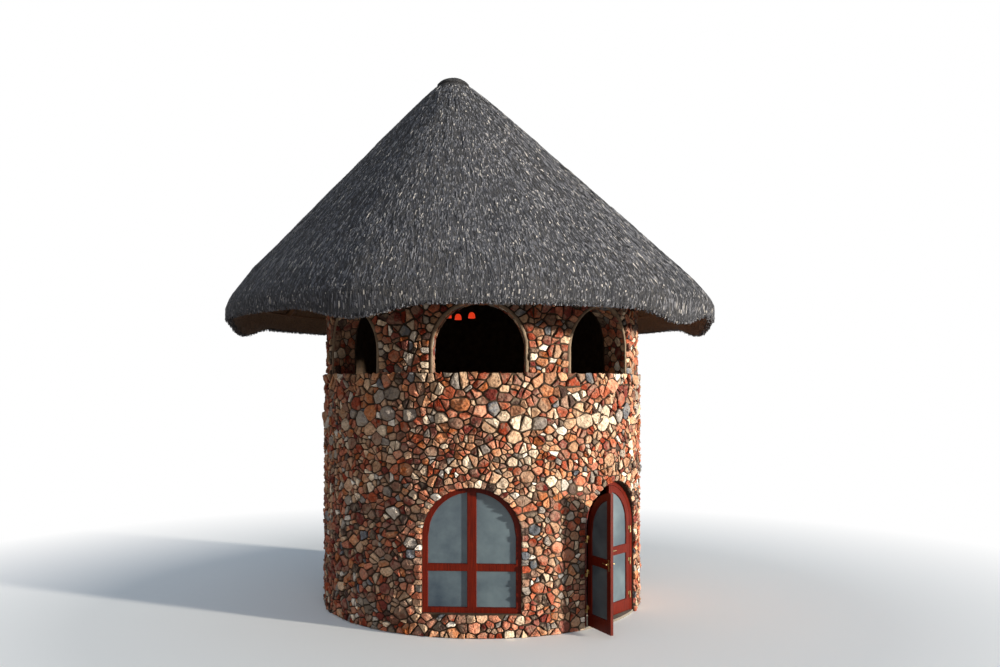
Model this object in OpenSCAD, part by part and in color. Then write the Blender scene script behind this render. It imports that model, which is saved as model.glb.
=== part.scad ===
// Rondavel hut: a round two-storey stone house under a tall cone of thatch on a pole roof.
// The origin is on the wall's axis at ground level. Azimuths are in degrees from -Y, positive towards +X.

/* [Stone walls] */
// Radius of the lower wall's outer face
wall_r = 2700; // [2500:50:3000]
// Thickness of the lower wall
wall_t = 450; // [380:10:520]
// Height of the top of the sill course under the upper arches
sill_z = 3900; // [3800:50:4100]
// Thickness of the sill course
sill_t = 80; // [60:5:110]
// How far the sill course stands out from the lower wall
sill_out = 15; // [5:5:40]
// How far the upper wall stands back from the lower wall's face
setback = 40; // [20:5:60]

/* [Upper arches] */
// Azimuths of the three arches on the front
arch_az = [-52.2, -1, 45.2]; // [-60:0.1:60]
// Azimuths of the two arches on the back
back_arch_az = [144, 223]; // [130:0.1:235]
// Width of an upper arch
arch_w = 1380; // [1200:20:1500]
// Width of an upper arch on the back, narrower so that none shows through the front ones
back_arch_w = 1000; // [900:20:1100]
// Height of a front arch's straight sides
arch_side = 360; // [200:20:450]
// How far the upper piers rise above the front arches' springing
shoulder_h = 340; // [250:10:400]

/* [Lower openings] */
// Azimuth of the front window
front_window_az = -3.4; // [-8:0.1:0]
// Azimuth of each back window, right and left of the front
back_window_az = 123; // [115:1:130]
// Azimuth of the double door
door_az = 51.2; // [48:0.1:56]
// Width of the windows and the doorway between the stones
opening_w = 1470; // [1300:10:1550]
// Height at which the arched heads begin
spring_z = 1480; // [1400:10:1600]
// Height of the windows' sills
window_sill_z = 350; // [250:10:500]
// Depth of the frames behind the edges of the stone jambs
reveal = 18; // [10:2:40]

/* [Joinery] */
// Width of a frame's face
frame_w = 75; // [60:5:90]
// Depth of a frame
frame_d = 80; // [70:5:100]
// Width of the windows' centre mullion
mullion_w = 125; // [90:5:140]
// Height of the windows' transom
transom_h = 100; // [70:5:120]
// Height of the middle of the windows' transom
transom_z = 1020; // [900:10:1150]
// Thickness of the glass
glass_t = 8; // [6:1:12]
// Thickness of a door leaf
leaf_t = 45; // [38:1:50]
// Width of a leaf's stiles and of its curved top rail
stile_w = 100; // [80:5:120]
// Height of a leaf's bottom rail
bottom_rail_h = 190; // [150:10:240]
// Height of a leaf's middle rail
mid_rail_h = 130; // [100:10:160]
// Height of the middle of a leaf's middle rail
mid_rail_z = 1070; // [950:10:1150]
// Gap round a leaf
leaf_gap = 6; // [5:0.5:9]
// Gap between the meeting stiles
meeting_gap = 10; // [8:1:14]
// How far the left leaf stands open
left_open = 117; // [0:1:118]
// Width of the stop behind the leaves
stop_w = 15; // [12:1:20]

/* [Door fittings] */
// Heights of the hinges
hinge_z = [300, 850, 1370]; // [200:10:1400]
// Height of a hinge
hinge_h = 110; // [90:5:130]
// Diameter of a hinge's knuckle
knuckle_d = 20; // [18:1:24]
// Diameter of a hinge's pin
pin_d = 10; // [8:1:12]
// Width of a hinge's flap
flap_w = 45; // [35:1:60]
// Thickness of a hinge's flap
flap_t = 3; // [2:0.5:4]
// Height of a handle's plate
handle_plate_h = 170; // [120:10:200]
// Length of a handle's lever
lever_l = 110; // [90:5:120]

/* [Floors] */
// Height of the ground floor
floor_z = 50; // [45:5:60]
// Height of the door's threshold
threshold_z = 40; // [30:5:44]
// Height of the upper floor
upper_floor_z = 3000; // [2800:50:3200]
// Thickness of the upper floor
upper_floor_t = 150; // [120:10:200]
// How far the upper floor is built into the wall
floor_bearing = 100; // [80:10:150]

/* [Roof form] */
// Offset of the eave circle's centre from the wall's axis
eave_x = -200; // [-300:10:0]
// Radius of the eave
eave_r = 4190; // [4000:10:4400]
// Height at which the thatch's face turns down at the eave
edge_z = 5130; // [5000:10:5250]
// Height of the lowest trimmed edge of the thatch
trim_z = 4790; // [4740:10:4830]
// Offset of the apex from the wall's axis
apex_x = -530; // [-650:10:-200]
// Height where the roof's straight slopes would meet
apex_z = 9320; // [9000:10:9600]
// How far the rounded top stays below that height
apex_round = 180; // [120:10:240]
// Thickness of the thatch, measured upright
thatch_v = 390; // [340:10:420]
// Height over which the thatch's face turns down to upright at the eave
turn_h = 190; // [160:5:220]
// How far the lowest trimmed edge lies inside the eave
trim_in = 60; // [40:5:80]
// How far the cap's flat underside is below the height where the slopes would meet
cap_drop = 320; // [290:10:360]
// How far the cap laps over the thatch
cap_lap = 20; // [10:5:40]
// Height of the cap's dome
cap_h = 140; // [100:10:160]

/* [Roof poles] */
// Diameter of a rafter
rafter_d = 100; // [80:5:110]
// Diameter of a wall plate log
plate_d = 120; // [100:5:130]
// Distance of the wall plate's middle from the upper wall's face
plate_in = 80; // [75:5:100]
// Diameter of the block that the rafters meet at
king_d = 320; // [310:5:360]
// Height of that block
king_h = 420; // [350:10:500]
// Diameter of the header poles between the long rafters
header_d = 80; // [60:5:80]
// Where the short rafters begin, as a share of the slope
header_at = 0.24; // [0.2:0.01:0.3]
// Where the rafters end, as a share of the slope
tail_at = 0.9; // [0.8:0.01:0.92]

/* [Hanging lamp] */
// Offset of the lamp from the wall's axis
lamp_x = -400; // [-450:10:-390]
// Height of the lamp shades' middle
lamp_z = 4960; // [4900:10:5200]
// Distance of the shades from the lamp's stem
lamp_arm = 240; // [150:10:300]
// Diameter of a shade
shade_d = 125; // [100:5:150]

/* [Hidden] */
$fn = 240;

// Clearance of each piece that is seated in another
seat = 0.3;
// Clearance between a rafter and the log it crosses
pole_seat = 0.6;
// Radial clearance of a hinge's pin
pin_gap = 0.1;
// Reach of the cutting shapes past the walls
past = 200;
// How far the piers stop below the springing of the lower arches
pier_drop = 80;
// How far the wall's head is lowered to clear the rafters that cross it
head_clear = 14;

inner_r = wall_r - wall_t;
upper_r = wall_r - setback;
half_w = opening_w / 2;
frame_y = sqrt(wall_r * wall_r - half_w * half_w) - reveal;
sill_bottom = sill_z - sill_t;
pier_top = spring_z - pier_drop;
arch_spring = sill_z + arch_side;
upper_pier_top = arch_spring + shoulder_h;

// Upper arches in order round the wall, and back to the first
ARCHES = concat(arch_az, back_arch_az);
function next_arch(i) = i < len(ARCHES) - 1 ? ARCHES[i + 1] : ARCHES[0] + 360;
function arch_width(i) = i % len(ARCHES) < len(arch_az) ? arch_w : back_arch_w;
// All crowns are level, so a narrower arch springs from higher up
function spring_of(i) = arch_spring + (arch_w - arch_width(i)) / 2;

// Lower openings, and the joints between the masonry segments
WINDOWS = [front_window_az, back_window_az, 360 - back_window_az];
PIER_ENDS = [
    front_window_az, door_az, back_window_az, 180, 360 - back_window_az,
    (720 + front_window_az - back_window_az) / 2, 360 + front_window_az
];
mid_pier = (front_window_az + door_az) / 2;
STOREY_ENDS = [
    mid_pier - 57, mid_pier, (door_az + back_window_az) / 2, 180 - 28.5,
    180 + 28.5, 360 - (door_az + back_window_az) / 2 - 6, 360 + mid_pier - 57
];

// Roof form: a slanting cone, its axis running from the eave circle's centre to the apex
ROUND = 96;
RAFTERS = 16;
drop = apex_z - edge_z;
cap_s = sqrt(cap_drop * cap_drop - apex_round * apex_round) / drop;

function dir(a) = [sin(a), -cos(a), 0];
function slope_pt(a, s) =
    [apex_x + s * (eave_x - apex_x), 0, apex_z - s * drop] + s * eave_r * dir(a);
function face_pt(a, s) =
    slope_pt(a, s) + [0, 0, s * drop - sqrt(pow(s * drop, 2) + apex_round * apex_round)];
function under_pt(a, s) = slope_pt(a, s) - [0, 0, thatch_v];
function run(a) = norm([eave_x - apex_x, 0] + eave_r * [sin(a), -cos(a)]);
function pitch(a) = atan(drop / run(a));

// Share of the slope at which the underside goes level, inside the block that the rafters meet at
under_top = 0.85 * king_d / 2 / run(90);
function below(p, a, d) = p - [0, 0, d / cos(pitch(a))];
function rafter_pt(a, s) = below(under_pt(a, s), a, rafter_d / 2 + seat);

// Share of the slope at which the slope of azimuth a crosses a circle round the wall's axis
function at_radius(a, r) =
    let (e = [eave_x - apex_x, 0] + eave_r * [sin(a), -cos(a)],
         b = apex_x * e.x,
         aa = e * e,
         cc = apex_x * apex_x - r * r)
    (-b + sqrt(b * b - aa * cc)) / aa;

plate_r = upper_r - plate_in;
function plate_pt(a) =
    below(rafter_pt(a, at_radius(a, plate_r)), a, (rafter_d + plate_d) / 2 + pole_seat);
PLATE = [for (i = [0 : RAFTERS - 1]) plate_pt(i * 360 / RAFTERS)];

// The wall's head is a plane that slopes with the wall plate, which is let into it
head_mid = (PLATE[4].z + PLATE[12].z) / 2 + (PLATE[0].z - (PLATE[4].z + PLATE[12].z) / 2) / 2;
head_tilt = atan((PLATE[12].z - PLATE[4].z) / (2 * plate_r));
head_z = head_mid - plate_d / 4 - head_clear;

// How far the trimmed eave dips, in bays between the arches
DIPS = concat(
    [-22, 49], [for (i = [len(arch_az) - 1 : len(ARCHES) - 1]) (ARCHES[i] + next_arch(i)) / 2]
);
dip_half = 15;
dip_depth = 165;
function bump(x) = abs(x) > 1 ? 0 : pow(cos(90 * x), 2);
function turn(a) = a - 360 * round(a / 360);
function dip(a) = dip_depth * max([for (d = DIPS) bump(turn(a - d) / dip_half)]);
function trim_at(a) = trim_z - dip(a);

stone = "#a5785a";
mortar = "#8d8377";
timber = "#5a1f12";
log_wood = "#6f5138";
reed = "#57534f";
pane = "#b9c6cc";
brass = "#c9b27a";

// Part of a disc between two azimuths, from the axis outwards
module sector(r, z0, z1, a1, a2) {
    translate([0, 0, z0])
        linear_extrude(z1 - z0)
            polygon(concat([[0, 0]], [for (i = [0 : 4])
                let (a = a1 + (a2 - a1) * i / 4) [2 * r * sin(a), -2 * r * cos(a)]]));
}

module ring(r_out, r_in, z0, z1) {
    translate([0, 0, z0])
        difference() {
            cylinder(r = r_out, h = z1 - z0);
            translate([0, 0, -1]) cylinder(r = r_in, h = z1 - z0 + 2);
        }
}

module wall_segment(r_out, z0, z1, a1, a2) {
    intersection() {
        ring(r_out, inner_r, z0, z1);
        sector(r_out, z0, z1, a1, a2);
    }
}

// Outline of an arched opening, with x across and y up
module arch_2d(half, base, spring) {
    translate([-half, base]) square([2 * half, spring - base]);
    intersection() {
        translate([0, spring]) circle(r = half);
        translate([-half, spring]) square([2 * half, half]);
    }
}

// Stands an outline up across the wall at azimuth a, from y0 inwards over a depth
module across(a, y0, depth) {
    rotate([0, 0, a])
        translate([0, depth - y0, 0])
            rotate([90, 0, 0])
                linear_extrude(depth) children();
}

module arch_cut(a, half, base, spring) {
    across(a, wall_r + past, wall_t + setback + 2 * past) arch_2d(half, base, spring);
}

module lower_cuts() {
    for (a = WINDOWS) arch_cut(a, half_w, window_sill_z, spring_z);
    arch_cut(door_az, half_w, -1, spring_z);
}

module jamb_strip(a) {
    rotate([0, 0, a])
        translate([-half_w, -wall_r - past, -1])
            cube([opening_w, wall_t + 2 * past, spring_z + 2]);
}

module pier(i) {
    color(stone)
        difference() {
            wall_segment(wall_r, 0, pier_top, PIER_ENDS[i], PIER_ENDS[i + 1]);
            for (a = concat(WINDOWS, [door_az])) jamb_strip(a);
        }
}

module window_breasts() {
    color(stone)
        for (a = WINDOWS)
            intersection() {
                ring(wall_r, inner_r, 0, window_sill_z);
                jamb_strip(a);
            }
}

module storey_wall(i) {
    color(stone)
        difference() {
            wall_segment(wall_r, pier_top, sill_bottom, STOREY_ENDS[i], STOREY_ENDS[i + 1]);
            lower_cuts();
            translate([0, 0, upper_floor_z - upper_floor_t])
                cylinder(r = inner_r + floor_bearing + seat, h = upper_floor_t);
        }
}

module sill_course() {
    color(stone) ring(wall_r + sill_out, inner_r, sill_bottom, sill_z);
}

// The arches on either side of stretch i of the upper wall
module upper_cuts(i) {
    arch_cut(ARCHES[i], arch_width(i) / 2, sill_z - 1, spring_of(i));
    arch_cut(next_arch(i), arch_width(i + 1) / 2, sill_z - 1, spring_of(i + 1));
}

module upper_piers() {
    color(stone)
        for (i = [0 : len(ARCHES) - 1])
            difference() {
                wall_segment(upper_r, sill_z, upper_pier_top, ARCHES[i], next_arch(i));
                upper_cuts(i);
            }
}

module upper_wall(i) {
    color(stone)
        difference() {
            wall_segment(upper_r, upper_pier_top, head_z + wall_r, ARCHES[i], next_arch(i));
            upper_cuts(i);
            translate([0, 0, head_z])
                rotate([0, head_tilt, 0])
                    translate([-2 * wall_r, -2 * wall_r, 0]) cube([4 * wall_r, 4 * wall_r, 2 * wall_r]);
            plate_logs(2 * seat, 40);
        }
}

module ground_floor() {
    color(mortar) cylinder(r = inner_r - seat, h = floor_z);
}

module door_threshold() {
    color(mortar)
        intersection() {
            ring(wall_r, inner_r, 0, threshold_z);
            jamb_strip(door_az);
        }
}

module upper_floor() {
    color(mortar)
        translate([0, 0, upper_floor_z - upper_floor_t])
            cylinder(r = inner_r + floor_bearing, h = upper_floor_t);
}

// Straight pole between two points
module pole(p, q, d) {
    v = q - p;
    translate(p)
        rotate([0, acos(v.z / norm(v)), atan2(v.y, v.x)])
            cylinder(d = d, h = norm(v), $fn = 48);
}

// Logs laid end to end round the wall's head, each with its middle under a rafter
module plate_logs(more, longer) {
    for (i = [0 : RAFTERS - 1]) {
        before = PLATE[(i + RAFTERS - 1) % RAFTERS];
        after = PLATE[(i + 1) % RAFTERS];
        u = (after - before) / norm(after - before);
        butt = plate_d * tan(180 / RAFTERS) - longer;
        back = norm(PLATE[i] - before) / 2 - butt;
        ahead = norm(after - PLATE[i]) / 2 - butt;
        pole(PLATE[i] - back * u, PLATE[i] + ahead * u, plate_d + more);
    }
}

module wall_plate() {
    color(log_wood) plate_logs(0, 0);
}

king_top = apex_z - thatch_v - max(king_d / 2 * tan(pitch(270)), under_top * drop) - 2;
module king_solid(more, taller) {
    translate([apex_x, 0, king_top - king_h]) cylinder(d = king_d + more, h = king_h + taller);
}

module king_block() {
    color(log_wood) king_solid(0, 0);
}

rafter_top = 0.02;
module rafter(i, from, more) {
    a = i * 360 / RAFTERS;
    pole(rafter_pt(a, from), rafter_pt(a, tail_at), rafter_d + more);
}

module main_rafters() {
    color(log_wood)
        difference() {
            for (i = [0 : 2 : RAFTERS - 1]) rafter(i, rafter_top, 0);
            king_solid(2 * seat, thatch_v);
        }
}

module header(i, more) {
    step = 360 / RAFTERS;
    pole(rafter_pt(i * step, header_at), rafter_pt((i + 2) * step, header_at), header_d + more);
}

module header_poles() {
    color(log_wood)
        difference() {
            for (i = [0 : 2 : RAFTERS - 1]) header(i, 0);
            for (i = [0 : 2 : RAFTERS - 1]) rafter(i, rafter_top, 2 * seat);
        }
}

module short_rafters() {
    color(log_wood)
        difference() {
            for (i = [1 : 2 : RAFTERS - 1]) rafter(i, header_at * 0.97, 0);
            for (i = [0 : 2 : RAFTERS - 1]) header(i, 2 * seat);
        }
}

// Rings of points down the outer face, round the trimmed edge and up the underside
function nose_pt(a, r, z) = [eave_x, 0, z] + r * dir(a);
function thatch_profile(a) = concat(
    [for (s = [cap_s, 0.09, 0.13, 0.2, 0.35, 0.5, 0.65, 0.8, 0.9, 0.955]) face_pt(a, s)],
    [
        nose_pt(a, eave_r * 0.984, edge_z + turn_h / 4),
        nose_pt(a, eave_r * 0.998, edge_z - turn_h / 2),
        nose_pt(a, eave_r, edge_z - turn_h),
        nose_pt(a, eave_r - trim_in / 4, trim_at(a) + trim_in * 3 / 4),
        nose_pt(a, eave_r - trim_in, trim_at(a)),
        nose_pt(a, eave_r - trim_in * 5 / 2, trim_at(a) + trim_in * 3 / 4)
    ],
    [for (s = [0.93, 0.8, 0.6, 0.4, 0.2, under_top]) under_pt(a, s)]
);

module thatch() {
    rings = [for (i = [0 : ROUND - 1]) thatch_profile(i * 360 / ROUND)];
    rows = len(rings[0]);
    points = [for (j = [0 : rows - 1]) for (i = [0 : ROUND - 1]) rings[i][j]];
    faces = concat(
        [[for (i = [0 : ROUND - 1]) i]],
        [for (j = [0 : rows - 2]) for (i = [0 : ROUND - 1])
            let (k = (i + 1) % ROUND, a = j * ROUND, b = (j + 1) * ROUND)
            each [[a + i, b + i, b + k], [a + i, b + k, a + k]]],
        [[for (i = [0 : ROUND - 1]) rows * ROUND - 1 - i]]
    );
    color(reed) polyhedron(points, faces);
}

module thatch_cap() {
    cap_r = cap_s * eave_r + cap_lap;
    dome_r = (cap_r * cap_r + cap_h * cap_h) / (2 * cap_h);
    color(reed)
        translate([apex_x + cap_s * (eave_x - apex_x), 0, apex_z - cap_drop])
            intersection() {
                translate([0, 0, cap_h - dome_r]) sphere(r = dome_r);
                cylinder(r = cap_r + 1, h = cap_h + 1);
            }
}

module opening_2d(inset, base) {
    arch_2d(half_w - inset, base + inset, spring_z);
}

module window_bars_2d(more) {
    translate([-mullion_w / 2 - more, 0]) square([mullion_w + 2 * more, spring_z + half_w]);
    translate([-half_w, transom_z - transom_h / 2 - more])
        square([opening_w, transom_h + 2 * more]);
}

module window_frames() {
    color(timber)
        for (a = WINDOWS)
            across(a, frame_y, frame_d) {
                difference() {
                    opening_2d(seat, window_sill_z);
                    difference() {
                        opening_2d(frame_w, window_sill_z);
                        window_bars_2d(0);
                    }
                }
            }
}

module window_glass() {
    color(pane)
        for (a = WINDOWS)
            across(a, frame_y - (frame_d - glass_t) / 2, glass_t)
                difference() {
                    opening_2d(frame_w + seat, window_sill_z);
                    window_bars_2d(seat);
                }
}

module door_frame() {
    color(timber) {
        across(door_az, frame_y, frame_d)
            difference() {
                arch_2d(half_w - seat, threshold_z, spring_z);
                arch_2d(half_w - frame_w, threshold_z - 1, spring_z);
            }
        across(door_az, frame_y - leaf_t - leaf_gap, frame_d - leaf_t - leaf_gap)
            difference() {
                arch_2d(half_w - seat, threshold_z, spring_z);
                arch_2d(half_w - frame_w - stop_w, threshold_z - 1, spring_z);
            }
    }
}

// Half of the double door, drawn closed on the left
leaf_r = half_w - frame_w - leaf_gap;
leaf_base = threshold_z + 10;

module half_arch_2d(r, x0, x1, z0, z1) {
    intersection() {
        arch_2d(r, z0, spring_z);
        translate([x0, z0]) square([x1 - x0, z1 - z0]);
    }
}

module leaf_panes_2d(inset) {
    r = leaf_r - stile_w - inset;
    x1 = -meeting_gap / 2 - stile_w - inset;
    mid_low = mid_rail_z - mid_rail_h / 2;
    half_arch_2d(r, -r, x1, leaf_base + bottom_rail_h + inset, mid_low - inset);
    half_arch_2d(r, -r, x1, mid_low + mid_rail_h + inset, spring_z + half_w);
}

module leaf_2d() {
    difference() {
        half_arch_2d(leaf_r, -leaf_r, -meeting_gap / 2, leaf_base, spring_z + half_w);
        leaf_panes_2d(0);
    }
}

pin_x = -(half_w - frame_w - leaf_gap / 2);
pin_y = -(frame_y + knuckle_d / 2);

// Puts a left leaf's piece in the doorway, swung open; the right side is its mirror image, closed
module left_side(open) {
    rotate([0, 0, door_az])
        translate([pin_x, pin_y, 0])
            rotate([0, 0, -open])
                translate([-pin_x, -pin_y, 0]) children();
}

module right_side() {
    rotate([0, 0, door_az]) mirror([1, 0, 0]) children();
}

module leaf_wood() {
    color(timber) across(0, frame_y, leaf_t) leaf_2d();
}

module leaf_glass() {
    color(pane) across(0, frame_y - (leaf_t - glass_t) / 2, glass_t) leaf_panes_2d(seat);
}

// The upper half of each hinge, with its pin, is on the leaf and the lower half is on the frame
module leaf_hinges() {
    color(brass)
        for (z = hinge_z) {
            translate([pin_x, pin_y, z + seat]) cylinder(d = knuckle_d, h = hinge_h / 2);
            translate([pin_x, pin_y, z - hinge_h / 2 + 5]) cylinder(d = pin_d, h = hinge_h / 2);
            translate([pin_x, -frame_y - flap_t, z + seat]) cube([flap_w, flap_t, hinge_h / 2]);
        }
}

module frame_knuckles() {
    for (z = hinge_z)
        difference() {
            union() {
                translate([pin_x, pin_y, z - hinge_h / 2]) cylinder(d = knuckle_d, h = hinge_h / 2);
                translate([pin_x - flap_w, -frame_y - flap_t, z - hinge_h / 2])
                    cube([flap_w, flap_t, hinge_h / 2]);
            }
            translate([pin_x, pin_y, z - hinge_h / 2 - 1]) cylinder(d = pin_d + 2 * pin_gap, h = hinge_h);
        }
}

module door_frame_hinges() {
    color(brass) {
        left_side(0) frame_knuckles();
        right_side() frame_knuckles();
    }
}

module leaf_handle() {
    x = -meeting_gap / 2 - stile_w / 2;
    color(brass)
        for (side = [-1, 1]) {
            face = side < 0 ? -frame_y : leaf_t - frame_y;
            translate([x, face + side * 2.5, mid_rail_z]) cube([32, 5, handle_plate_h], center = true);
            translate([x, face + side * 5, mid_rail_z + 20])
                rotate([-90 * side, 0, 0]) cylinder(d = 16, h = 45);
            translate([x + 9, face + side * 45, mid_rail_z + 20])
                rotate([0, -90, 0]) cylinder(d = 17, h = lever_l);
        }
}

lamp_hub_z = lamp_z + shade_d * 0.9;
lamp_top = king_top - king_h;
lamp_hub_d = 70;
LAMP_ARMS = [66.5, 186.5, 306.5];

module hanging_lamp() {
    color("#2c2622")
        translate([lamp_x, 0, lamp_hub_z]) {
            translate([0, 0, 20]) cylinder(d = 14, h = lamp_top - lamp_hub_z - 20);
            translate([0, 0, -30]) cylinder(d = lamp_hub_d, h = 60);
            for (a = LAMP_ARMS)
                rotate([0, 0, a - 90])
                    translate([lamp_hub_d / 2 - 8, 0, 0])
                        rotate([0, 90, 0]) cylinder(d = 16, h = lamp_arm + 16 - lamp_hub_d / 2);
        }
}

module lamp_shades() {
    color("#b8321c")
        for (a = LAMP_ARMS)
            translate([lamp_x, 0, lamp_z] + lamp_arm * dir(a))
                rotate_extrude()
                    polygon([
                        [0, -shade_d * 0.45], [shade_d * 0.5, -shade_d * 0.4], [shade_d * 0.42, 0],
                        [shade_d * 0.24, shade_d * 0.42], [0, shade_d * 0.9 - 8 - seat]
                    ]);
}

ground_floor();
door_threshold();
window_breasts();
pier(0);  // pier_1
pier(1);  // pier_2
pier(2);  // pier_3
pier(3);  // pier_4
pier(4);  // pier_5
pier(5);  // pier_6
storey_wall(0);  // storey_wall_1
storey_wall(1);  // storey_wall_2
storey_wall(2);  // storey_wall_3
storey_wall(3);  // storey_wall_4
storey_wall(4);  // storey_wall_5
storey_wall(5);  // storey_wall_6
upper_floor();
sill_course();
upper_piers();
upper_wall(0);  // upper_wall_1
upper_wall(1);  // upper_wall_2
upper_wall(2);  // upper_wall_3
upper_wall(3);  // upper_wall_4
upper_wall(4);  // upper_wall_5
wall_plate();
main_rafters();
short_rafters();
header_poles();
king_block();
thatch();
thatch_cap();
window_frames();
window_glass();
door_frame();
door_frame_hinges();
left_side(left_open) leaf_wood();  // left_leaf
left_side(left_open) leaf_glass();  // left_leaf_glass
left_side(left_open) leaf_hinges();  // left_leaf_hinges
left_side(left_open) leaf_handle();  // left_leaf_handle
right_side() leaf_wood();  // right_leaf
right_side() leaf_glass();  // right_leaf_glass
right_side() leaf_hinges();  // right_leaf_hinges
right_side() leaf_handle();  // right_leaf_handle
hanging_lamp();
lamp_shades();
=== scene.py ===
"""Finishes for a rondavel hut: rubble walls, weathered thatch, stained joinery and a studio stage."""

import math
import random

import bpy
import numpy as np
from bpy.props import FloatProperty, FloatVectorProperty, IntProperty, PointerProperty
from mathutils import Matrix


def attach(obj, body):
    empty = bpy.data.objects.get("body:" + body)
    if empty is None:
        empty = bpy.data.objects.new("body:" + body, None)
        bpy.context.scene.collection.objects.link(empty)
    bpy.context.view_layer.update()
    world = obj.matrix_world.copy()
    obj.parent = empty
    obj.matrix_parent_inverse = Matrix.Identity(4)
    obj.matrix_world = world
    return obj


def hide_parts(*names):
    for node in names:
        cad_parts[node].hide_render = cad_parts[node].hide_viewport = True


bl_info = {
    "name": "Rondavel Hut Finishes",
    "version": (1, 0, 0),
    "blender": (4, 5, 0),
    "location": "View3D > Sidebar > Rondavel",
    "description": "Builds the stones, thatch, joinery details and stage of a rondavel hut",
    "category": "Object",
}

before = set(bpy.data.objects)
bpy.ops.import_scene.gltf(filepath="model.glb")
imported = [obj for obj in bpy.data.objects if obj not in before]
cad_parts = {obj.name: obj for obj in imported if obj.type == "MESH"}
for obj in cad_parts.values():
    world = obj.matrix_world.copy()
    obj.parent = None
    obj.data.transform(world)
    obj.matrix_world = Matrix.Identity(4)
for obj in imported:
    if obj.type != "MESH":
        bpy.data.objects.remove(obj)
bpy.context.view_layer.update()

# Forms of the hut that the finishes follow, in metres and degrees. Azimuth 0 faces -Y.
WALL_R, UPPER_R, INNER_R = 2.70, 2.66, 2.25
SILL_Z, SILL_BOTTOM = 3.90, 3.82
SPRING_Z, HALF_OPENING = 1.48, 0.735
WINDOW_AZ, WINDOW_SILL = (-3.4, 123.0, 237.0), 0.35
DOOR_AZ, THRESHOLD = 51.2, 0.04
ARCHES = (  # azimuth, half width, springing
    (-52.2, 0.69, 4.26),
    (-1.0, 0.69, 4.26),
    (45.2, 0.69, 4.26),
    (144.0, 0.50, 4.45),
    (223.0, 0.50, 4.45),
)
FRAME_Y, FRAME_W, LEAF_OPEN = 2.5800, 0.075, 117.0
EAVE_X, EAVE_R, EDGE_Z, TRIM_Z = -0.20, 4.19, 5.13, 4.79
APEX_X, APEX_Z, APEX_ROUND, THATCH_V = -0.53, 9.32, 0.18, 0.39
TURN_H, TRIM_IN = 0.19, 0.06
CAP_DROP, CAP_LAP, CAP_H = 0.32, 0.02, 0.14
DROP = APEX_Z - EDGE_Z
CAP_S = math.sqrt(CAP_DROP**2 - APEX_ROUND**2) / DROP
CAP_X = APEX_X + CAP_S * (EAVE_X - APEX_X)
DIPS, DIP_HALF, DIP_DEPTH = (-22.0, 49.0, 94.6, 183.5, 265.4), 15.0, 0.165

MULLION_HALF, TRANSOM_HALF, TRANSOM_Z = 0.0625, 0.05, 1.02
STILE_W, BOTTOM_RAIL_H, MID_RAIL_H, MID_RAIL_Z = 0.1, 0.19, 0.13, 1.07
# A height above every lower arch
PAST_ARCH = 3.0

OBJECT_NAME = "Rondavel hut"


def paint(code):
    """Linear colour of a hexadecimal screen colour."""
    parts = [int(code[i : i + 2], 16) / 255 for i in (1, 3, 5)]
    return tuple(c / 12.92 if c <= 0.04045 else ((c + 0.055) / 1.055) ** 2.4 for c in parts)


class Shell:
    """Points and faces of one piece, with a few values for each point."""

    def __init__(self, *values):
        self.points, self.faces = [], []
        self.values = {name: [] for name in values}
        self.patch = []

    def add(self, point, patch=(0.0, 0.0), **values):
        self.points.append(tuple(point))
        self.patch.append(patch)
        for name, kept in self.values.items():
            kept.append(values.get(name, 0.0))
        return len(self.points) - 1

    def band(self, lower, upper):
        """Quads between two closed rings of the same length."""
        n = len(lower)
        for i in range(n):
            k = (i + 1) % n
            self.faces.append((lower[i], lower[k], upper[k], upper[i]))

    def bands(self, rings):
        for lower, upper in zip(rings, rings[1:]):
            self.band(lower, upper)

    def fan(self, ring, middle):
        n = len(ring)
        for i in range(n):
            self.faces.append((ring[i], ring[(i + 1) % n], middle))

    def strip(self, first, second):
        """Quads between two open rows of the same length."""
        for i in range(len(first) - 1):
            self.faces.append((first[i], first[i + 1], second[i + 1], second[i]))


def make_piece(name, points, faces, material, slot, body="hut", values=None, uv=None, smooth=False):
    """Links a mesh to the scene, finishes it and lets it ride on a body."""
    mesh = bpy.data.meshes.new(name)
    mesh.from_pydata([tuple(p) for p in points], [], faces)
    for key, kept in (values or {}).items():
        kept = np.asarray(kept, dtype=np.float32)
        kind = "FLOAT_VECTOR" if kept.ndim == 2 else "FLOAT"
        layer = mesh.attributes.new(key, kind, "POINT")
        layer.data.foreach_set("vector" if kept.ndim == 2 else "value", kept.ravel())
    if uv is not None:
        corners = np.empty(len(mesh.loops), dtype=np.int32)
        mesh.loops.foreach_get("vertex_index", corners)
        layer = mesh.uv_layers.new(name="OFBake")
        spread = np.asarray(uv, dtype=np.float32)
        chosen = spread[corners] if len(spread) == len(points) else spread
        layer.data.foreach_set("uv", chosen.ravel())
    mesh.polygons.foreach_set("use_smooth", [smooth] * len(mesh.polygons))
    mesh.materials.append(material)
    mesh.validate()
    mesh.update()
    piece = bpy.data.objects.new(name, mesh)
    bpy.context.scene.collection.objects.link(piece)
    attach(piece, body)
    return piece


def shell_piece(name, shell, material, slot, mapped=True, **rest):
    uv = shell.patch if mapped else None
    return make_piece(
        name, shell.points, shell.faces, material, slot, values=shell.values, uv=uv, **rest
    )


def corner_value(ix, iy, iz, seed):
    """A settled random number from 0 to 1 for each corner of a grid."""
    h = (ix * 73856093) ^ (iy * 19349663) ^ (iz * 83492791) ^ (seed * 2654435761)
    h = (h ^ (h >> 13)) * 1274126177
    h = h ^ (h >> 16)
    return (h & 0xFFFF) / 65535.0


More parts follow.
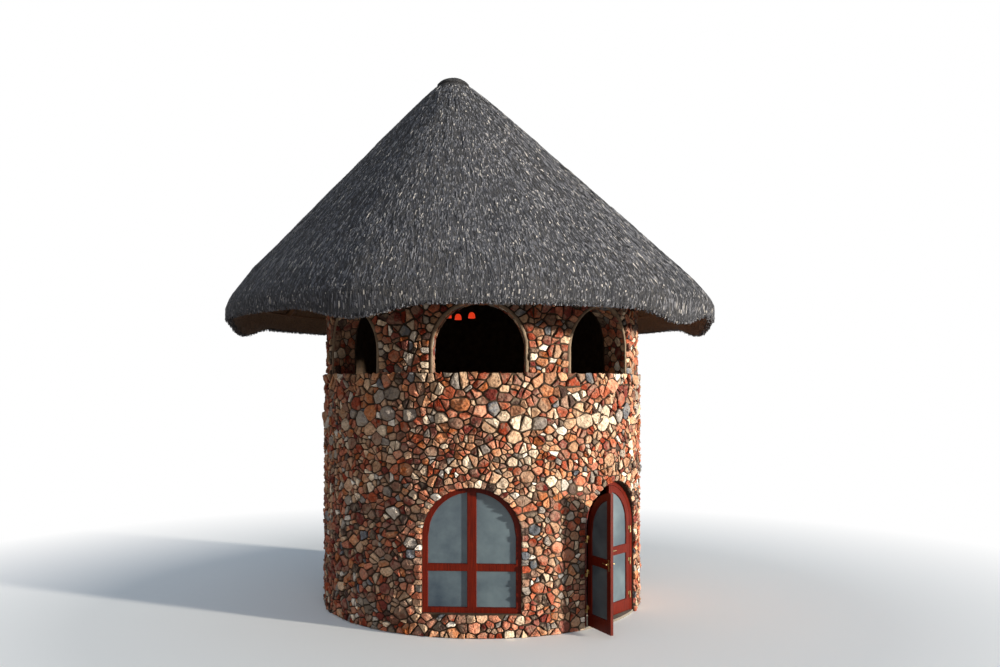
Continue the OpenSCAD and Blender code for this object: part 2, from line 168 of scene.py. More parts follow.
def drift(points, size, seed=1):
    """Smooth noise from -1 to 1 at points, with lumps about size metres wide."""
    q = np.asarray(points, dtype=float) / size
    base = np.floor(q).astype(np.int64)
    f = q - base
    f = f * f * (3 - 2 * f)
    total = np.zeros(len(q))
    for dx in (0, 1):
        for dy in (0, 1):
            for dz in (0, 1):
                w = (
                    (f[:, 0] if dx else 1 - f[:, 0])
                    * (f[:, 1] if dy else 1 - f[:, 1])
                    * (f[:, 2] if dz else 1 - f[:, 2])
                )
                total += w * corner_value(base[:, 0] + dx, base[:, 1] + dy, base[:, 2] + dz, seed)
    return total * 2 - 1


def put(tree, kind, inputs=None, **settings):
    """Adds a node, sets it up, and links or fills its inputs."""
    made = tree.nodes.new(kind)
    for name, value in settings.items():
        setattr(made, name, value)
    for name, value in (inputs or {}).items():
        socket = made.inputs[name]
        if isinstance(value, bpy.types.NodeSocket):
            tree.links.new(value, socket)
        elif hasattr(socket.default_value, "__len__") and len(socket.default_value) == 4:
            socket.default_value = (*value[:3], 1.0)
        else:
            socket.default_value = value
    return made


def blend_colour(tree, factor, a, b, way="MIX"):
    made = tree.nodes.new("ShaderNodeMix")
    made.data_type, made.blend_type = "RGBA", way
    for index, value in ((0, factor), (6, a), (7, b)):
        socket = made.inputs[index]
        if isinstance(value, bpy.types.NodeSocket):
            tree.links.new(value, socket)
        else:
            socket.default_value = value if index == 0 else (*value[:3], 1.0)
    return made.outputs[2]


def reckon(tree, way, a, b=0.0, c=0.0):
    made = tree.nodes.new("ShaderNodeMath")
    made.operation = way
    for socket, value in zip(made.inputs, (a, b, c)):
        if isinstance(value, bpy.types.NodeSocket):
            tree.links.new(value, socket)
        else:
            socket.default_value = value
    return made.outputs[0]


def span(tree, value, low, high, out_low=0.0, out_high=1.0):
    return put(
        tree,
        "ShaderNodeMapRange",
        {"Value": value, "From Min": low, "From Max": high, "To Min": out_low, "To Max": out_high},
    ).outputs["Result"]


def new_group(name, ins, outs):
    """A shader node group with named sockets, and its input and output nodes."""
    tree = bpy.data.node_groups.new(name, "ShaderNodeTree")
    kinds = {"F": "NodeSocketFloat", "C": "NodeSocketColor", "V": "NodeSocketVector"}
    for label, kind in ins:
        tree.interface.new_socket(label, in_out="INPUT", socket_type=kinds[kind])
    for label, kind in outs:
        tree.interface.new_socket(label, in_out="OUTPUT", socket_type=kinds[kind])
    return tree, tree.nodes.new("NodeGroupInput"), tree.nodes.new("NodeGroupOutput")


def mottled_group():
    """Two tones in soft patches."""
    tree, given, result = new_group(
        "Mottled tone",
        [("Vector", "V"), ("Scale", "F"), ("Sharpness", "F"), ("Dark", "C"), ("Light", "C")],
        [("Color", "C"), ("Mask", "F")],
    )
    noise = put(
        tree,
        "ShaderNodeTexNoise",
        {
            "Vector": given.outputs["Vector"],
            "Scale": given.outputs["Scale"],
            "Detail": 6.0,
            "Roughness": 0.62,
        },
    )
    half = reckon(tree, "SUBTRACT", 0.5, given.outputs["Sharpness"])
    top = reckon(tree, "ADD", 0.5, given.outputs["Sharpness"])
    mask = span(tree, noise.outputs["Fac"], half, top)
    colour = blend_colour(tree, mask, given.outputs["Dark"], given.outputs["Light"])
    tree.links.new(colour, result.inputs["Color"])
    tree.links.new(mask, result.inputs["Mask"])
    return tree


def fibre_group():
    """Long streaks that run along one direction of the given coordinates."""
    tree, given, result = new_group(
        "Fibre streaks",
        [("Vector", "V"), ("Across", "F"), ("Along", "F")],
        [("Streak", "F"), ("Fine", "F")],
    )
    scale = put(
        tree,
        "ShaderNodeCombineXYZ",
        {"X": given.outputs["Across"], "Y": given.outputs["Across"], "Z": given.outputs["Along"]},
    )
    stretched = put(
        tree,
        "ShaderNodeVectorMath",
        {0: given.outputs["Vector"], 1: scale.outputs["Vector"]},
        operation="MULTIPLY",
    )
    for scale_by, detail, label in ((1.0, 4.0, "Streak"), (3.1, 3.0, "Fine")):
        noise = put(
            tree,
            "ShaderNodeTexNoise",
            {
                "Vector": stretched.outputs["Vector"],
                "Scale": scale_by,
                "Detail": detail,
                "Roughness": 0.6,
            },
        )
        tree.links.new(span(tree, noise.outputs["Fac"], 0.3, 0.7), result.inputs[label])
    return tree


def relief_group():
    """Height of a rough surface, with chips and fine grit."""
    tree, given, result = new_group(
        "Rough relief", [("Vector", "V"), ("Scale", "F"), ("Chips", "F")], [("Height", "F")]
    )
    coarse = put(
        tree,
        "ShaderNodeTexNoise",
        {
            "Vector": given.outputs["Vector"],
            "Scale": given.outputs["Scale"],
            "Detail": 8.0,
            "Roughness": 0.66,
        },
    )
    chip_scale = reckon(tree, "MULTIPLY", given.outputs["Scale"], 0.7)
    chips = put(
        tree,
        "ShaderNodeTexVoronoi",
        {"Vector": given.outputs["Vector"], "Scale": chip_scale},
        feature="SMOOTH_F1",
    )
    weighed = reckon(tree, "MULTIPLY", chips.outputs["Distance"], given.outputs["Chips"])
    tree.links.new(reckon(tree, "ADD", coarse.outputs["Fac"], weighed), result.inputs["Height"])
    return tree


def group_node(tree, key, inputs):
    """Places one of the shared groups in a material."""
    made = tree.nodes.new("ShaderNodeGroup")
    made.node_tree = bpy.data.node_groups[key]
    for name, value in inputs.items():
        socket = made.inputs[name]
        if isinstance(value, bpy.types.NodeSocket):
            tree.links.new(value, socket)
        elif socket.type == "RGBA":
            socket.default_value = (*value[:3], 1.0)
        else:
            socket.default_value = value
    return made


def new_material(name, **fixed):
    """A material with a Principled shader whose even values are set on its own sockets."""
    material = bpy.data.materials.new(name)
    material.use_nodes = True
    tree = material.node_tree
    tree.nodes.clear()
    shader = put(tree, "ShaderNodeBsdfPrincipled")
    for label, value in fixed.items():
        socket = shader.inputs[label.replace("_", " ")]
        socket.default_value = (*value[:3], 1.0) if socket.type == "RGBA" else value
    output = tree.nodes.new("ShaderNodeOutputMaterial")
    tree.links.new(shader.outputs["BSDF"], output.inputs["Surface"])
    return material, tree, shader


def place(tree):
    return tree.nodes.new("ShaderNodeTexCoord").outputs["Object"]


def value_of(tree, name, kind="Fac"):
    return put(tree, "ShaderNodeAttribute", attribute_name=name).outputs[kind]


def mottled(tree, where, scale, sharpness, dark, light=(1, 1, 1)):
    """Two tones in soft patches, as the outputs Color and Mask."""
    inputs = {"Vector": where, "Scale": scale, "Sharpness": sharpness, "Dark": dark, "Light": light}
    return group_node(tree, "Mottled tone", inputs).outputs


def fibres(tree, where, across, along):
    """Long streaks, as the outputs Streak and Fine."""
    inputs = {"Vector": where, "Across": across, "Along": along}
    return group_node(tree, "Fibre streaks", inputs).outputs


def rough_height(tree, where, scale, chips):
    inputs = {"Vector": where, "Scale": scale, "Chips": chips}
    return group_node(tree, "Rough relief", inputs).outputs["Height"]


def coloured(tree, shader, colour):
    tree.links.new(colour, shader.inputs["Base Color"])


def roughened(tree, shader, *measures):
    """measures are a value, the range it runs over, and the roughness at either end."""
    tree.links.new(span(tree, *measures), shader.inputs["Roughness"])


def bumped(tree, shader, height, strength, distance):
    inputs = {"Height": height, "Strength": strength, "Distance": distance}
    bump = put(tree, "ShaderNodeBump", inputs)
    tree.links.new(bump.outputs["Normal"], shader.inputs["Normal"])


# Rust, terracotta, red, tan, sand, brown, cream, grey, blue, dark, amber and white
STONE_TONES = (
    "#a34d28",
    "#bd6a42",
    "#7a3423",
    "#b98a66",
    "#cda680",
    "#8c6650",
    "#e3cdb0",
    "#948b82",
    "#6c7077",
    "#4d382e",
    "#c27a45",
    "#f0e8da",
)


def stone_material():
    material, tree, shader = new_material("rubble_stone_finish", Specular_IOR_Level=0.3)
    where = place(tree)
    ramp = put(tree, "ShaderNodeValToRGB", {"Fac": value_of(tree, "tone")})
    ramp.color_ramp.interpolation = "CONSTANT"
    stops = ramp.color_ramp.elements
    for k in range(len(STONE_TONES)):
        stop = stops[k] if k < 2 else stops.new(k / len(STONE_TONES))
        stop.position = k / len(STONE_TONES)
    for k, code in enumerate(STONE_TONES):
        stops[k].color = (*paint(code), 1.0)
    shade = value_of(tree, "shade")
    varied = put(
        tree,
        "ShaderNodeHueSaturation",
        {
            "Color": ramp.outputs["Color"],
            "Hue": span(tree, shade, 0, 1, 0.49, 0.506),
            "Saturation": span(tree, shade, 0, 1, 1.06, 0.82),
            "Value": span(tree, shade, 0, 1, 0.84, 1.85),
        },
    )
    veins = mottled(tree, where, 21.0, 0.12, (0.3, 0.24, 0.21))
    grit = mottled(tree, where, 85.0, 0.12, (0.5, 0.46, 0.42), (1.1, 1.08, 1.05))
    veined = blend_colour(tree, 0.62, varied.outputs["Color"], veins["Color"], "MULTIPLY")
    stained = blend_colour(tree, 0.6, veined, grit["Color"], "MULTIPLY")
    lichen = mottled(tree, where, 5.5, 0.07, (0, 0, 0))
    pale = span(tree, lichen["Mask"], 0.35, 1.0, 0.0, 0.32)
    dusted = blend_colour(tree, pale, stained, paint("#b9a68c"))
    # Each stone darkens towards its foot by its crown value: painted shade in the crevices between
    # stones.
    joint = span(tree, value_of(tree, "crown"), 0.05, 0.8, 0.22, 1.0)
    coloured(tree, shader, blend_colour(tree, 1.0, dusted, joint, "MULTIPLY"))
    height = rough_height(tree, where, 26.0, 0.9)
    bumped(tree, shader, height, 1.0, 0.028)
    roughened(tree, shader, height, 0.4, 1.2, 0.78, 0.95)
    return material


def mortar_material(name, dark, light, scale=9.0):
    material, tree, shader = new_material(name, Specular_IOR_Level=0.25)
    where = place(tree)
    tone = mottled(tree, where, scale, 0.2, paint(dark), paint(light))
    speck = mottled(tree, where, 130.0, 0.1, (0.6, 0.58, 0.55))
    coloured(tree, shader, blend_colour(tree, 0.6, tone["Color"], speck["Color"], "MULTIPLY"))
    height = rough_height(tree, where, 34.0, 0.3)
    bumped(tree, shader, height, 0.7, 0.006)
    roughened(tree, shader, height, 0.3, 1.0, 0.86, 0.97)
    return material


def reed_material():
    """Weathered reed, with streaks that follow the slope and a browner underside."""
    material, tree, shader = new_material("weathered_reed_finish", Specular_IOR_Level=0.25)
    lay = value_of(tree, "lay", "Vector")
    streaks = fibres(tree, lay, 26.0, 4.5)
    reeds = fibres(tree, lay, 90.0, 9.0)
    dark, middle, light = paint("#1e1f23"), paint("#47484d"), paint("#85827e")
    first = blend_colour(tree, streaks["Streak"], dark, middle)
    bright = reckon(tree, "MULTIPLY", reeds["Streak"], reeds["Fine"])
    second = blend_colour(tree, span(tree, bright, 0.25, 0.8, 0.0, 0.85), first, light)
    weather = mottled(tree, place(tree), 0.9, 0.2, (0.74, 0.76, 0.8), (1.08, 1.03, 0.97))
    aged = blend_colour(tree, 1.0, second, weather["Color"], "MULTIPLY")
    cut_ends = mottled(tree, place(tree), 48.0, 0.1, paint("#3a2a20"), paint("#a07a54"))
    fine = blend_colour(tree, reeds["Fine"], paint("#4a3325"), paint("#94704e"))
    straw = blend_colour(tree, 0.7, cut_ends["Color"], fine)
    coloured(tree, shader, blend_colour(tree, value_of(tree, "under"), aged, straw))
    height = reckon(tree, "MULTIPLY_ADD", streaks["Streak"], 1.6, reeds["Streak"])
    bumped(tree, shader, height, 1.0, 0.022)
    roughened(tree, shader, reeds["Fine"], 0, 1, 0.82, 0.96)
    return material


def tuft_material():
    """Single reed ends, each with its own tone."""
    material, tree, shader = new_material("reed_end_finish", Specular_IOR_Level=0.25)
    tone = value_of(tree, "tone")
    ramp = put(tree, "ShaderNodeValToRGB", {"Fac": tone})
    stops = ramp.color_ramp.elements
    codes = ("#2a2b30", "#595a60", "#7d7d81", "#a7a29d", "#cbc4ba")
    for k, (at, code) in enumerate(zip((0.0, 0.35, 0.65, 0.88, 1.0), codes)):
        stop = stops[0] if k == 0 else stops.new(at) if k < 4 else stops[-1]
        stop.position, stop.color = at, (*paint(code), 1.0)
    fleck = mottled(tree, place(tree), 60.0, 0.15, (0.62, 0.6, 0.58))
    coloured(tree, shader, blend_colour(tree, 0.8, ramp.outputs["Color"], fleck["Color"], "MULTIPLY"))
    bumped(tree, shader, fleck["Mask"], 0.5, 0.002)
    roughened(tree, shader, tone, 0, 1, 0.95, 0.8)
    return material


def wood_material(name, dark, light, across, along, rough=(0.28, 0.5), coat=0.0, sheen=0.25):
    """Wood with an upright grain under a coat of stain."""
    material, tree, shader = new_material(
        name, Coat_Weight=coat, Coat_Roughness=0.3, Specular_IOR_Level=sheen
    )
    where = place(tree)
    grain = fibres(tree, where, across, along)
    tone = mottled(tree, where, 3.0, 0.25, (0.72, 0.68, 0.66))
    base = blend_colour(tree, grain["Streak"], paint(dark), paint(light))
    pores = span(tree, grain["Fine"], 0.2, 0.0, 0.0, 0.5)
    pored = blend_colour(tree, pores, base, (0.012, 0.004, 0.002))
    coloured(tree, shader, blend_colour(tree, 0.8, pored, tone["Color"], "MULTIPLY"))
    bumped(tree, shader, grain["Fine"], 0.35, 0.0012)
    roughened(tree, shader, grain["Streak"], 0, 1, rough[1], rough[0])
    return material


def frosted_glass_material():
    material, tree, shader = new_material(
        "frosted_glass_finish", Coat_Weight=0.3, Coat_Roughness=0.08, Specular_IOR_Level=0.35
    )
    where = place(tree)
    # Painted light on the panes: the dark tone is painted shade of the unlit room behind them, and the
    # paler patches are painted reflection.
    pane_reflection_and_shade = mottled(tree, where, 0.9, 0.16, paint("#28343f"), paint("#5b686c"))
    coloured(tree, shader, pane_reflection_and_shade["Color"])
    bumped(tree, shader, rough_height(tree, where, 420.0, 0.2), 0.12, 0.0006)
    roughened(tree, shader, pane_reflection_and_shade["Mask"], 0, 1, 0.32, 0.45)
    return material


def metal_material(name, dark, light, metallic, rough):
    material, tree, shader = new_material(name, Metallic=metallic)
    where = place(tree)
    wear = mottled(tree, where, 24.0, 0.2, paint(dark), paint(light))
    coloured(tree, shader, wear["Color"])
    bumped(tree, shader, fibres(tree, where, 420.0, 40.0)["Fine"], 0.12, 0.0006)
    roughened(tree, shader, wear["Mask"], 0, 1, rough + 0.16, rough)
    return material


def lamp_glass_material():
    # The red shades glow by emission: painted light standing in for sunlight falling on them.
    material, tree, shader = new_material(
        "red_lamp_glass_finish",
        Emission_Color=paint("#e03a1c"),
        Emission_Strength=0.9,
        Coat_Weight=0.5,
    )
    tone = mottled(tree, place(tree), 20.0, 0.25, paint("#8e1c10"), paint("#d8472a"))
    coloured(tree, shader, tone["Color"])
    roughened(tree, shader, tone["Mask"], 0, 1, 0.4, 0.25)
    return material


def build_finishes():
    """Makes the shared groups and every finish once."""
    mottled_group()
    fibre_group()
    relief_group()
    return {
        "stone": stone_material(),
        "mortar": mortar_material("wall_mortar_finish", "#2b2019", "#54422f"),
        "band": mortar_material("arch_band_finish", "#6c5947", "#9a8670", 6.0),
        "concrete": mortar_material("concrete_finish", "#6e665c", "#938a7d", 3.0),
        "reed": reed_material(),
        "tuft": tuft_material(),
        "joinery": wood_material(
            "stained_joinery_finish", "#460f06", "#691b09", 70.0, 3.5, (0.34, 0.48), 0.02, 0.1
        ),
        "pole": wood_material("peeled_pole_finish", "#4c3424", "#8a6544", 30.0, 1.5, (0.7, 0.9)),
        "lath": wood_material("lath_finish", "#5a3d28", "#8f6a48", 40.0, 3.0, (0.75, 0.92)),
        "glass": frosted_glass_material(),
        "brass": metal_material("brass_finish", "#8a744a", "#d9c48c", 1.0, 0.22),
        "iron": metal_material("dark_iron_finish", "#17130f", "#2d2620", 0.9, 0.45),
        "lamp": lamp_glass_material(),
    }


FINISHES = {}


def finish(key):
    if not FINISHES:
        FINISHES.update(build_finishes())
    return FINISHES[key]


def dress(node, key):
    """Gives a carried-over node a finish in every one of its material slots."""
    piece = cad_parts[node]
    if not piece.material_slots:
        piece.data.materials.append(finish(key))
    for place_held in piece.material_slots:
        place_held.material = finish(key)


class Opening:
    """An arched opening in a round wall, with x across it, as its stones see it."""

    def __init__(self, azimuth, half, base, spring, radius, margin):
        self.azimuth, self.half, self.base, self.spring = math.radians(azimuth), half, base, spring
        self.radius, self.margin = radius, margin

    def across(self, u):
        turned = u / self.radius - self.azimuth
        turned -= 2 * math.pi * round(turned / (2 * math.pi))
        return self.radius * math.sin(turned) if abs(turned) < 1.2 else None

    def gap(self, u, z):
        """How far a point is outside the outline."""
        x = self.across(u)
        if x is None:
            return 9.0
        if z >= self.spring:
            return math.hypot(x, z - self.spring) - self.half
        if z >= self.base:
            return abs(x) - self.half
        return math.hypot(max(abs(x) - self.half, 0), self.base - z)

    def along(self, x, u):
        """The arc length, near u, of a point at x."""
        turn = 2 * math.pi * self.radius
        made = self.radius * (self.azimuth + math.asin(max(-0.99, min(0.99, x / self.radius))))
        return made + turn * round((u - made) / turn)

    def moved(self, u, z, far):
        """The point at distance far from the outline, straight out through (u, z)."""
        x = self.across(u)
        if z >= self.spring:
            long = math.hypot(x, z - self.spring) or 1e-6
            k = (self.half + far) / long
            return self.along(x * k, u), self.spring + (z - self.spring) * k
        if abs(x) >= self.half or (z >= self.base and self.half - abs(x) < z - self.base):
            return self.along(math.copysign(self.half + far, x), u), z
        return u, self.base - far

    def kept_out(self, u, z):
        if self.across(u) is None or self.gap(u, z) >= self.margin:
            return u, z, False
        return (*self.moved(u, z, self.margin), True)


def clip(poly, nx, nz, c):
    """The part of a convex outline on the near side of a line."""
    out = []
    n = len(poly)
    for i in range(n):
        x0, z0 = poly[i]
        x1, z1 = poly[(i + 1) % n]
        d0, d1 = nx * x0 + nz * z0 - c, nx * x1 + nz * z1 - c
        if d0 <= 0:
            out.append((x0, z0))
        if (d0 < 0 < d1) or (d1 < 0 < d0):
            t = d0 / (d0 - d1)
            out.append((x0 + t * (x1 - x0), z0 + t * (z1 - z0)))
    return out


class Rubble:
    """Stones packed over a flat strip: sites first, then an outline for each."""

    # How much wider than tall the stones lie
    FLATTEN = 1.22
    # Room for sites, how near an edge a stone is mirrored across it, and how many others may cut one
    MOST, EDGE_REACH, NEIGHBOURS = 12000, 0.35, 22

    def __init__(self, seed, length, low, high, openings=(), closed=True, grade=None, ragged=0.0):
        self.rng, self.ragged = random.Random(seed), ragged
        self.length, self.low, self.high, self.closed = length, low, high, closed
        self.openings, self.grade = list(openings), grade or (lambda z: 1.0)
        self.sites = np.zeros((self.MOST, 3))
        self.count = 0

    def fits(self, u, z, r, tight):
        done = self.sites[: self.count]
        du = np.abs(done[:, 0] - u)
        if self.closed:
            du = np.minimum(du, self.length - du)
        dz = (done[:, 1] - z) * self.FLATTEN
        return not self.count or bool(np.all(np.hypot(du, dz) > tight * (done[:, 2] + r)))

    def put(self, u, z, r):
        self.sites[self.count] = (u % self.length if self.closed else u, z, r)
        self.count += 1

    def line_openings(self, size):
        """Stones set round each opening, on edge, before the rest."""
        for opening in self.openings:
            r = size
            far = opening.margin + r
            side = opening.spring - opening.base
            total = 2 * side + math.pi * opening.half
            s = r
            while s < total - 0.3 * r:
                if s < side:
                    x, z = -(opening.half + far), opening.base + s
                elif s > total - side:
                    x, z = opening.half + far, opening.base + total - s
                else:
                    turn = (s - side) / opening.half
                    x = -(opening.half + far) * math.cos(turn)
                    z = opening.spring + (opening.half + far) * math.sin(turn)
                u = opening.radius * (opening.azimuth + math.asin(x / opening.radius))
                r = size * self.rng.uniform(0.7, 1.25)
                if self.low < z < self.high and self.fits(u, z, r, 0.6):
                    self.put(u, z, r)
                s += 1.75 * r

    def fill(self, ladder):
        """Throws stones from the largest size down and keeps those that fit."""
        for size, tries in ladder:
            for _ in range(tries):
                u = self.rng.uniform(0, self.length)
                z = self.rng.uniform(self.low, self.high)
                r = size * self.rng.uniform(0.85, 1.15) * self.grade(z)
                if z - self.low < 0.5 * r or self.high - z < 0.5 * r:
                    continue
                if any(o.gap(u, z) < o.margin + 0.7 * r for o in self.openings):
                    continue
                if self.fits(u, z, r, 0.8):
                    self.put(u, z, r)

    def outlines(self, joint):
        """(site, outline) of each stone, its neighbours and the edges held off by half a joint."""
        real = self.sites[: self.count].copy()
        others = [real]
        if self.closed:
            for shift in (-self.length, self.length):
                moved = real + (shift, 0, 0)
                others.append(moved[(moved[:, 0] > -0.8) & (moved[:, 0] < self.length + 0.8)])
        else:
            for edge in (0.0, self.length):
                near = real[np.abs(real[:, 0] - edge) < self.EDGE_REACH]
                others.append(near * (-1, 1, 1) + (2 * edge, 0, 0))
        for edge in (self.low, self.high):
            near = real[np.abs(real[:, 1] - edge) < self.EDGE_REACH]
            others.append(near * (1, -1, 1) + (0, 2 * edge, 0))
        for opening in self.openings:
            mirrored = []
            for u, z, r in real:
                gap = opening.gap(u, z)
                if gap < self.EDGE_REACH and z > self.low:
                    mu, mz = opening.moved(u, z, 2 * opening.margin - gap)
                    if opening.gap(mu, mz) < opening.margin:
                        mirrored.append((mu, mz, r))
            if mirrored:
                others.append(np.array(mirrored))
        every = np.vstack(others)
        result = []
        for i, (u, z, r) in enumerate(real):
            du = every[:, 0] - u
            dz = (every[:, 1] - z) * self.FLATTEN
            far = du * du + dz * dz
            far[i] = 1e9
            poly = [(-0.4, -0.4), (0.4, -0.4), (0.4, 0.4), (-0.4, 0.4)]
            for k in np.argsort(far)[: self.NEIGHBOURS]:
                if far[k] > 0.5 or far[k] < 1e-9:
                    continue
                long = math.sqrt(far[k])
                c = (far[k] + r * r - every[k, 2] ** 2) / 2 - joint * long
                poly = clip(poly, du[k], dz[k], c)
                if len(poly) < 3:
                    break
            if len(poly) >= 3:
                result.append(((u, z, r), [(u + x, z + y / self.FLATTEN) for x, y in poly]))
        return result


def middle_of(poly):
    n = len(poly)
    return sum(p[0] for p in poly) / n, sum(p[1] for p in poly) / n


def apart(points, least):
    """The points in order, without those closer than least to the one kept before."""
    kept = [points[0]]
    for p in points[1:]:
        if math.hypot(p[0] - kept[-1][0], p[1] - kept[-1][1]) > least:
            kept.append(p)
    return kept


def split(poly, rng, joint):
    """Two stones cut from one outline, across its longer way."""
    cu, cz = middle_of(poly)
    far = max(poly, key=lambda p: math.hypot(p[0] - cu, p[1] - cz))
    turn = math.atan2(far[1] - cz, far[0] - cu) + rng.uniform(-0.55, 0.55)
    nx, nz = math.cos(turn), math.sin(turn)
    at = nx * cu + nz * cz + rng.uniform(-0.22, 0.22) * math.hypot(far[0] - cu, far[1] - cz)
    return clip(poly, nx, nz, at - joint), clip(poly, -nx, -nz, -at - joint)


def worn_outline(poly, rng, reach, cut):
    """A stone's outline with its corners knocked off and its long edges a little uneven."""
    out = []
    n = len(poly)
    for i in range(n):
        x, z = poly[i]
        for k in (i - 1, (i + 1) % n):
            t = cut * rng.uniform(0.4, 1.6)
            out.append((x + t * (poly[k][0] - x), z + t * (poly[k][1] - z)))
    full = []
    m = len(out)
    for i in range(m):
        a, b = out[i], out[(i + 1) % m]
        full.append(a)
        long = math.hypot(b[0] - a[0], b[1] - a[1])
        pieces = max(1, round(long / reach))
        for j in range(1, pieces):
            t = j / pieces
            off = rng.uniform(-0.09, 0.05) * min(long, 0.09)
            nx, nz = (b[1] - a[1]) / long, -(b[0] - a[0]) / long
            full.append((a[0] + t * (b[0] - a[0]) + off * nx, a[1] + t * (b[1] - a[1]) + off * nz))
    return apart(full, 0.004)


def area_of(poly):
    return 0.5 * sum(
        poly[i][0] * poly[(i + 1) % len(poly)][1] - poly[(i + 1) % len(poly)][0] * poly[i][1]
        for i in range(len(poly))
    )


# Side of the smallest stone that is laid
LEAST_STONE = 0.022


class StoneCutter:
    """Turns outlines into solid stones in shells, one shell for each part of the wall."""

    def __init__(self, rng):
        self.rng, self.shells, self.made = rng, {}, {}

    def shell(self, key):
        if key not in self.shells:
            self.shells[key] = Shell("tone", "shade", "crown")
            self.made[key] = 0
        return self.shells[key]

    def stone(self, key, outline, lay, proud, tone, shade, deep=None, detail=True, dome=0.0):
        """lay maps (u, z, height) to a point. deep gives the lowest points where a side shows."""
        rng, shell = self.rng, self.shell(key)
        if len(outline) < 4:
            return
        cu, cz = middle_of(outline)
        size = math.sqrt(abs(area_of(outline)))
        if size < LEAST_STONE:
            return
        index = self.made[key]
        self.made[key] += 1
        tilt_u, tilt_z = rng.uniform(-0.42, 0.42), rng.uniform(-0.42, 0.42)
        bevel = rng.uniform(0.07, 0.18) + 0.06 * dome
        bulge = rng.uniform(0.0, 0.05) * size + 0.1 * size * dome
        chip = 0.22 * (1 - dome)
        reach = max(math.hypot(p[0] - cu, p[1] - cz) for p in outline)

        def uv(p, k):
            return index, 0.5 + 0.47 * k * (p[0] - cu) / reach, 0.5 + 0.47 * k * (p[1] - cz) / reach

        def top(p):
            lean = tilt_u * (p[0] - cu) + tilt_z * (p[1] - cz)
            return min(max(proud + max(-0.6, min(0.6, lean / proud)) * proud, 0.3 * proud), 1.5 * proud)

        base = []
        for i, p in enumerate(outline):
            low = deep[i] if deep and deep[i] else lay(p[0], p[1], -0.02)
            base.append(shell.add(low, uv(p, 1.0), tone=tone, shade=shade, crown=0.0))
        rows = [base]
        side = [rng.uniform(0.55, 0.85) for _ in outline]
        for k, level, crown in ((1.0, 0, 0.4), (1 - bevel, 1, 0.95)):
            row = []
            for p, part in zip(outline, side):
                q = (cu + k * (p[0] - cu), cz + k * (p[1] - cz))
                h = top(q) * (part if level == 0 else rng.uniform(1 - 0.5 * chip, 1.0))
                spot = uv(p, 0.85 - 0.2 * level)
                row.append(shell.add(lay(*q, h), spot, tone=tone, shade=shade, crown=crown))
            rows.append(row)
        peak = (cu + rng.uniform(-0.2, 0.2) * size, cz + rng.uniform(-0.2, 0.2) * size)
        if detail:
            row = []
            for p in outline:
                k = 0.42 * rng.uniform(0.8, 1.2)
                q = (peak[0] + k * (p[0] - cu), peak[1] + k * (p[1] - cz))
                point = lay(q[0], q[1], top(q) * rng.uniform(1 - chip, 1 + chip) + bulge)
                row.append(shell.add(point, uv(p, 0.35), tone=tone, shade=shade, crown=1.0))
            rows.append(row)
        shell.bands(rows)
        height = top(peak) + bulge * rng.uniform(0.8, 1.3)
        centre = shell.add(
            lay(*peak, height), uv((cu, cz), 0), tone=tone, shade=shade, crown=1.0
        )
        shell.fan(rows[-1], centre)


def lay_out(cutter):
    """Gives the stones of each shell their cells on one square sheet."""
    for key, shell in cutter.shells.items():
        side = math.ceil(math.sqrt(cutter.made[key]))
        shell.patch = [((i % side + u) / side, (i // side + v) / side) for i, u, v in shell.patch]


def pick_tone(rng, weights):
    """A place on the ramp of stone tones, by weight."""
    total = rng.uniform(0, sum(weights))
    for k, w in enumerate(weights):
        total -= w
        if total <= 0:
            return (k + 0.5) / len(weights)
    return 0.5


# Weights of the stone tones, in their order. The warmer, paler weights paint sunlight on the band of
# wall the sun reached; the browner, greyer weights paint shade on the low wall, under the eave and in
# the arches' reveals.
PAINTED_SUN_TONES = (19, 18, 9, 13, 10, 9, 8, 4, 1, 4, 12, 4)
PAINTED_SHADE_TONES = (19, 14, 14, 9, 6, 13, 5, 8, 3, 7, 6, 3)
PALE_TONES = (2, 3, 1, 10, 16, 3, 24, 24, 4, 1, 4, 12)


def loosened(poly, rng):
    """An outline turned a little and drawn in by an uneven share of its size."""
    cu, cz = middle_of(poly)
    turn, wide, tall = rng.uniform(-0.09, 0.09), rng.uniform(0.86, 1.0), rng.uniform(0.86, 1.0)
    c, s = math.cos(turn), math.sin(turn)
    return [
        (cu + wide * (c * (x - cu) - s * (z - cz)), cz + tall * (s * (x - cu) + c * (z - cz)))
        for x, z in poly
    ]


def wall_point(radius):
    def lay(u, z, h):
        a = u / radius
        return (radius + h) * math.sin(a), -(radius + h) * math.cos(a), max(z, 0.001)

    return lay


def side_name(u, radius):
    turned = math.degrees(u / radius) % 360
    return ("front", "right", "back", "left")[int(((turned + 45) % 360) // 90)]


# Heights of the row of boulders: where stones are larger, paler and rounder
LARGER_Z, PALER_Z, ROUNDER_Z = (3.08, 3.32), (3.02, 3.38), (3.0, 3.4)
BOULDER_R = 0.1
# How deep a stone's side reaches at an opening, and at the top of the wall
JAMB_DEPTH, HEAD_DEPTH = 0.125, 0.09


def between(value, ends):
    return ends[0] < value < ends[1]


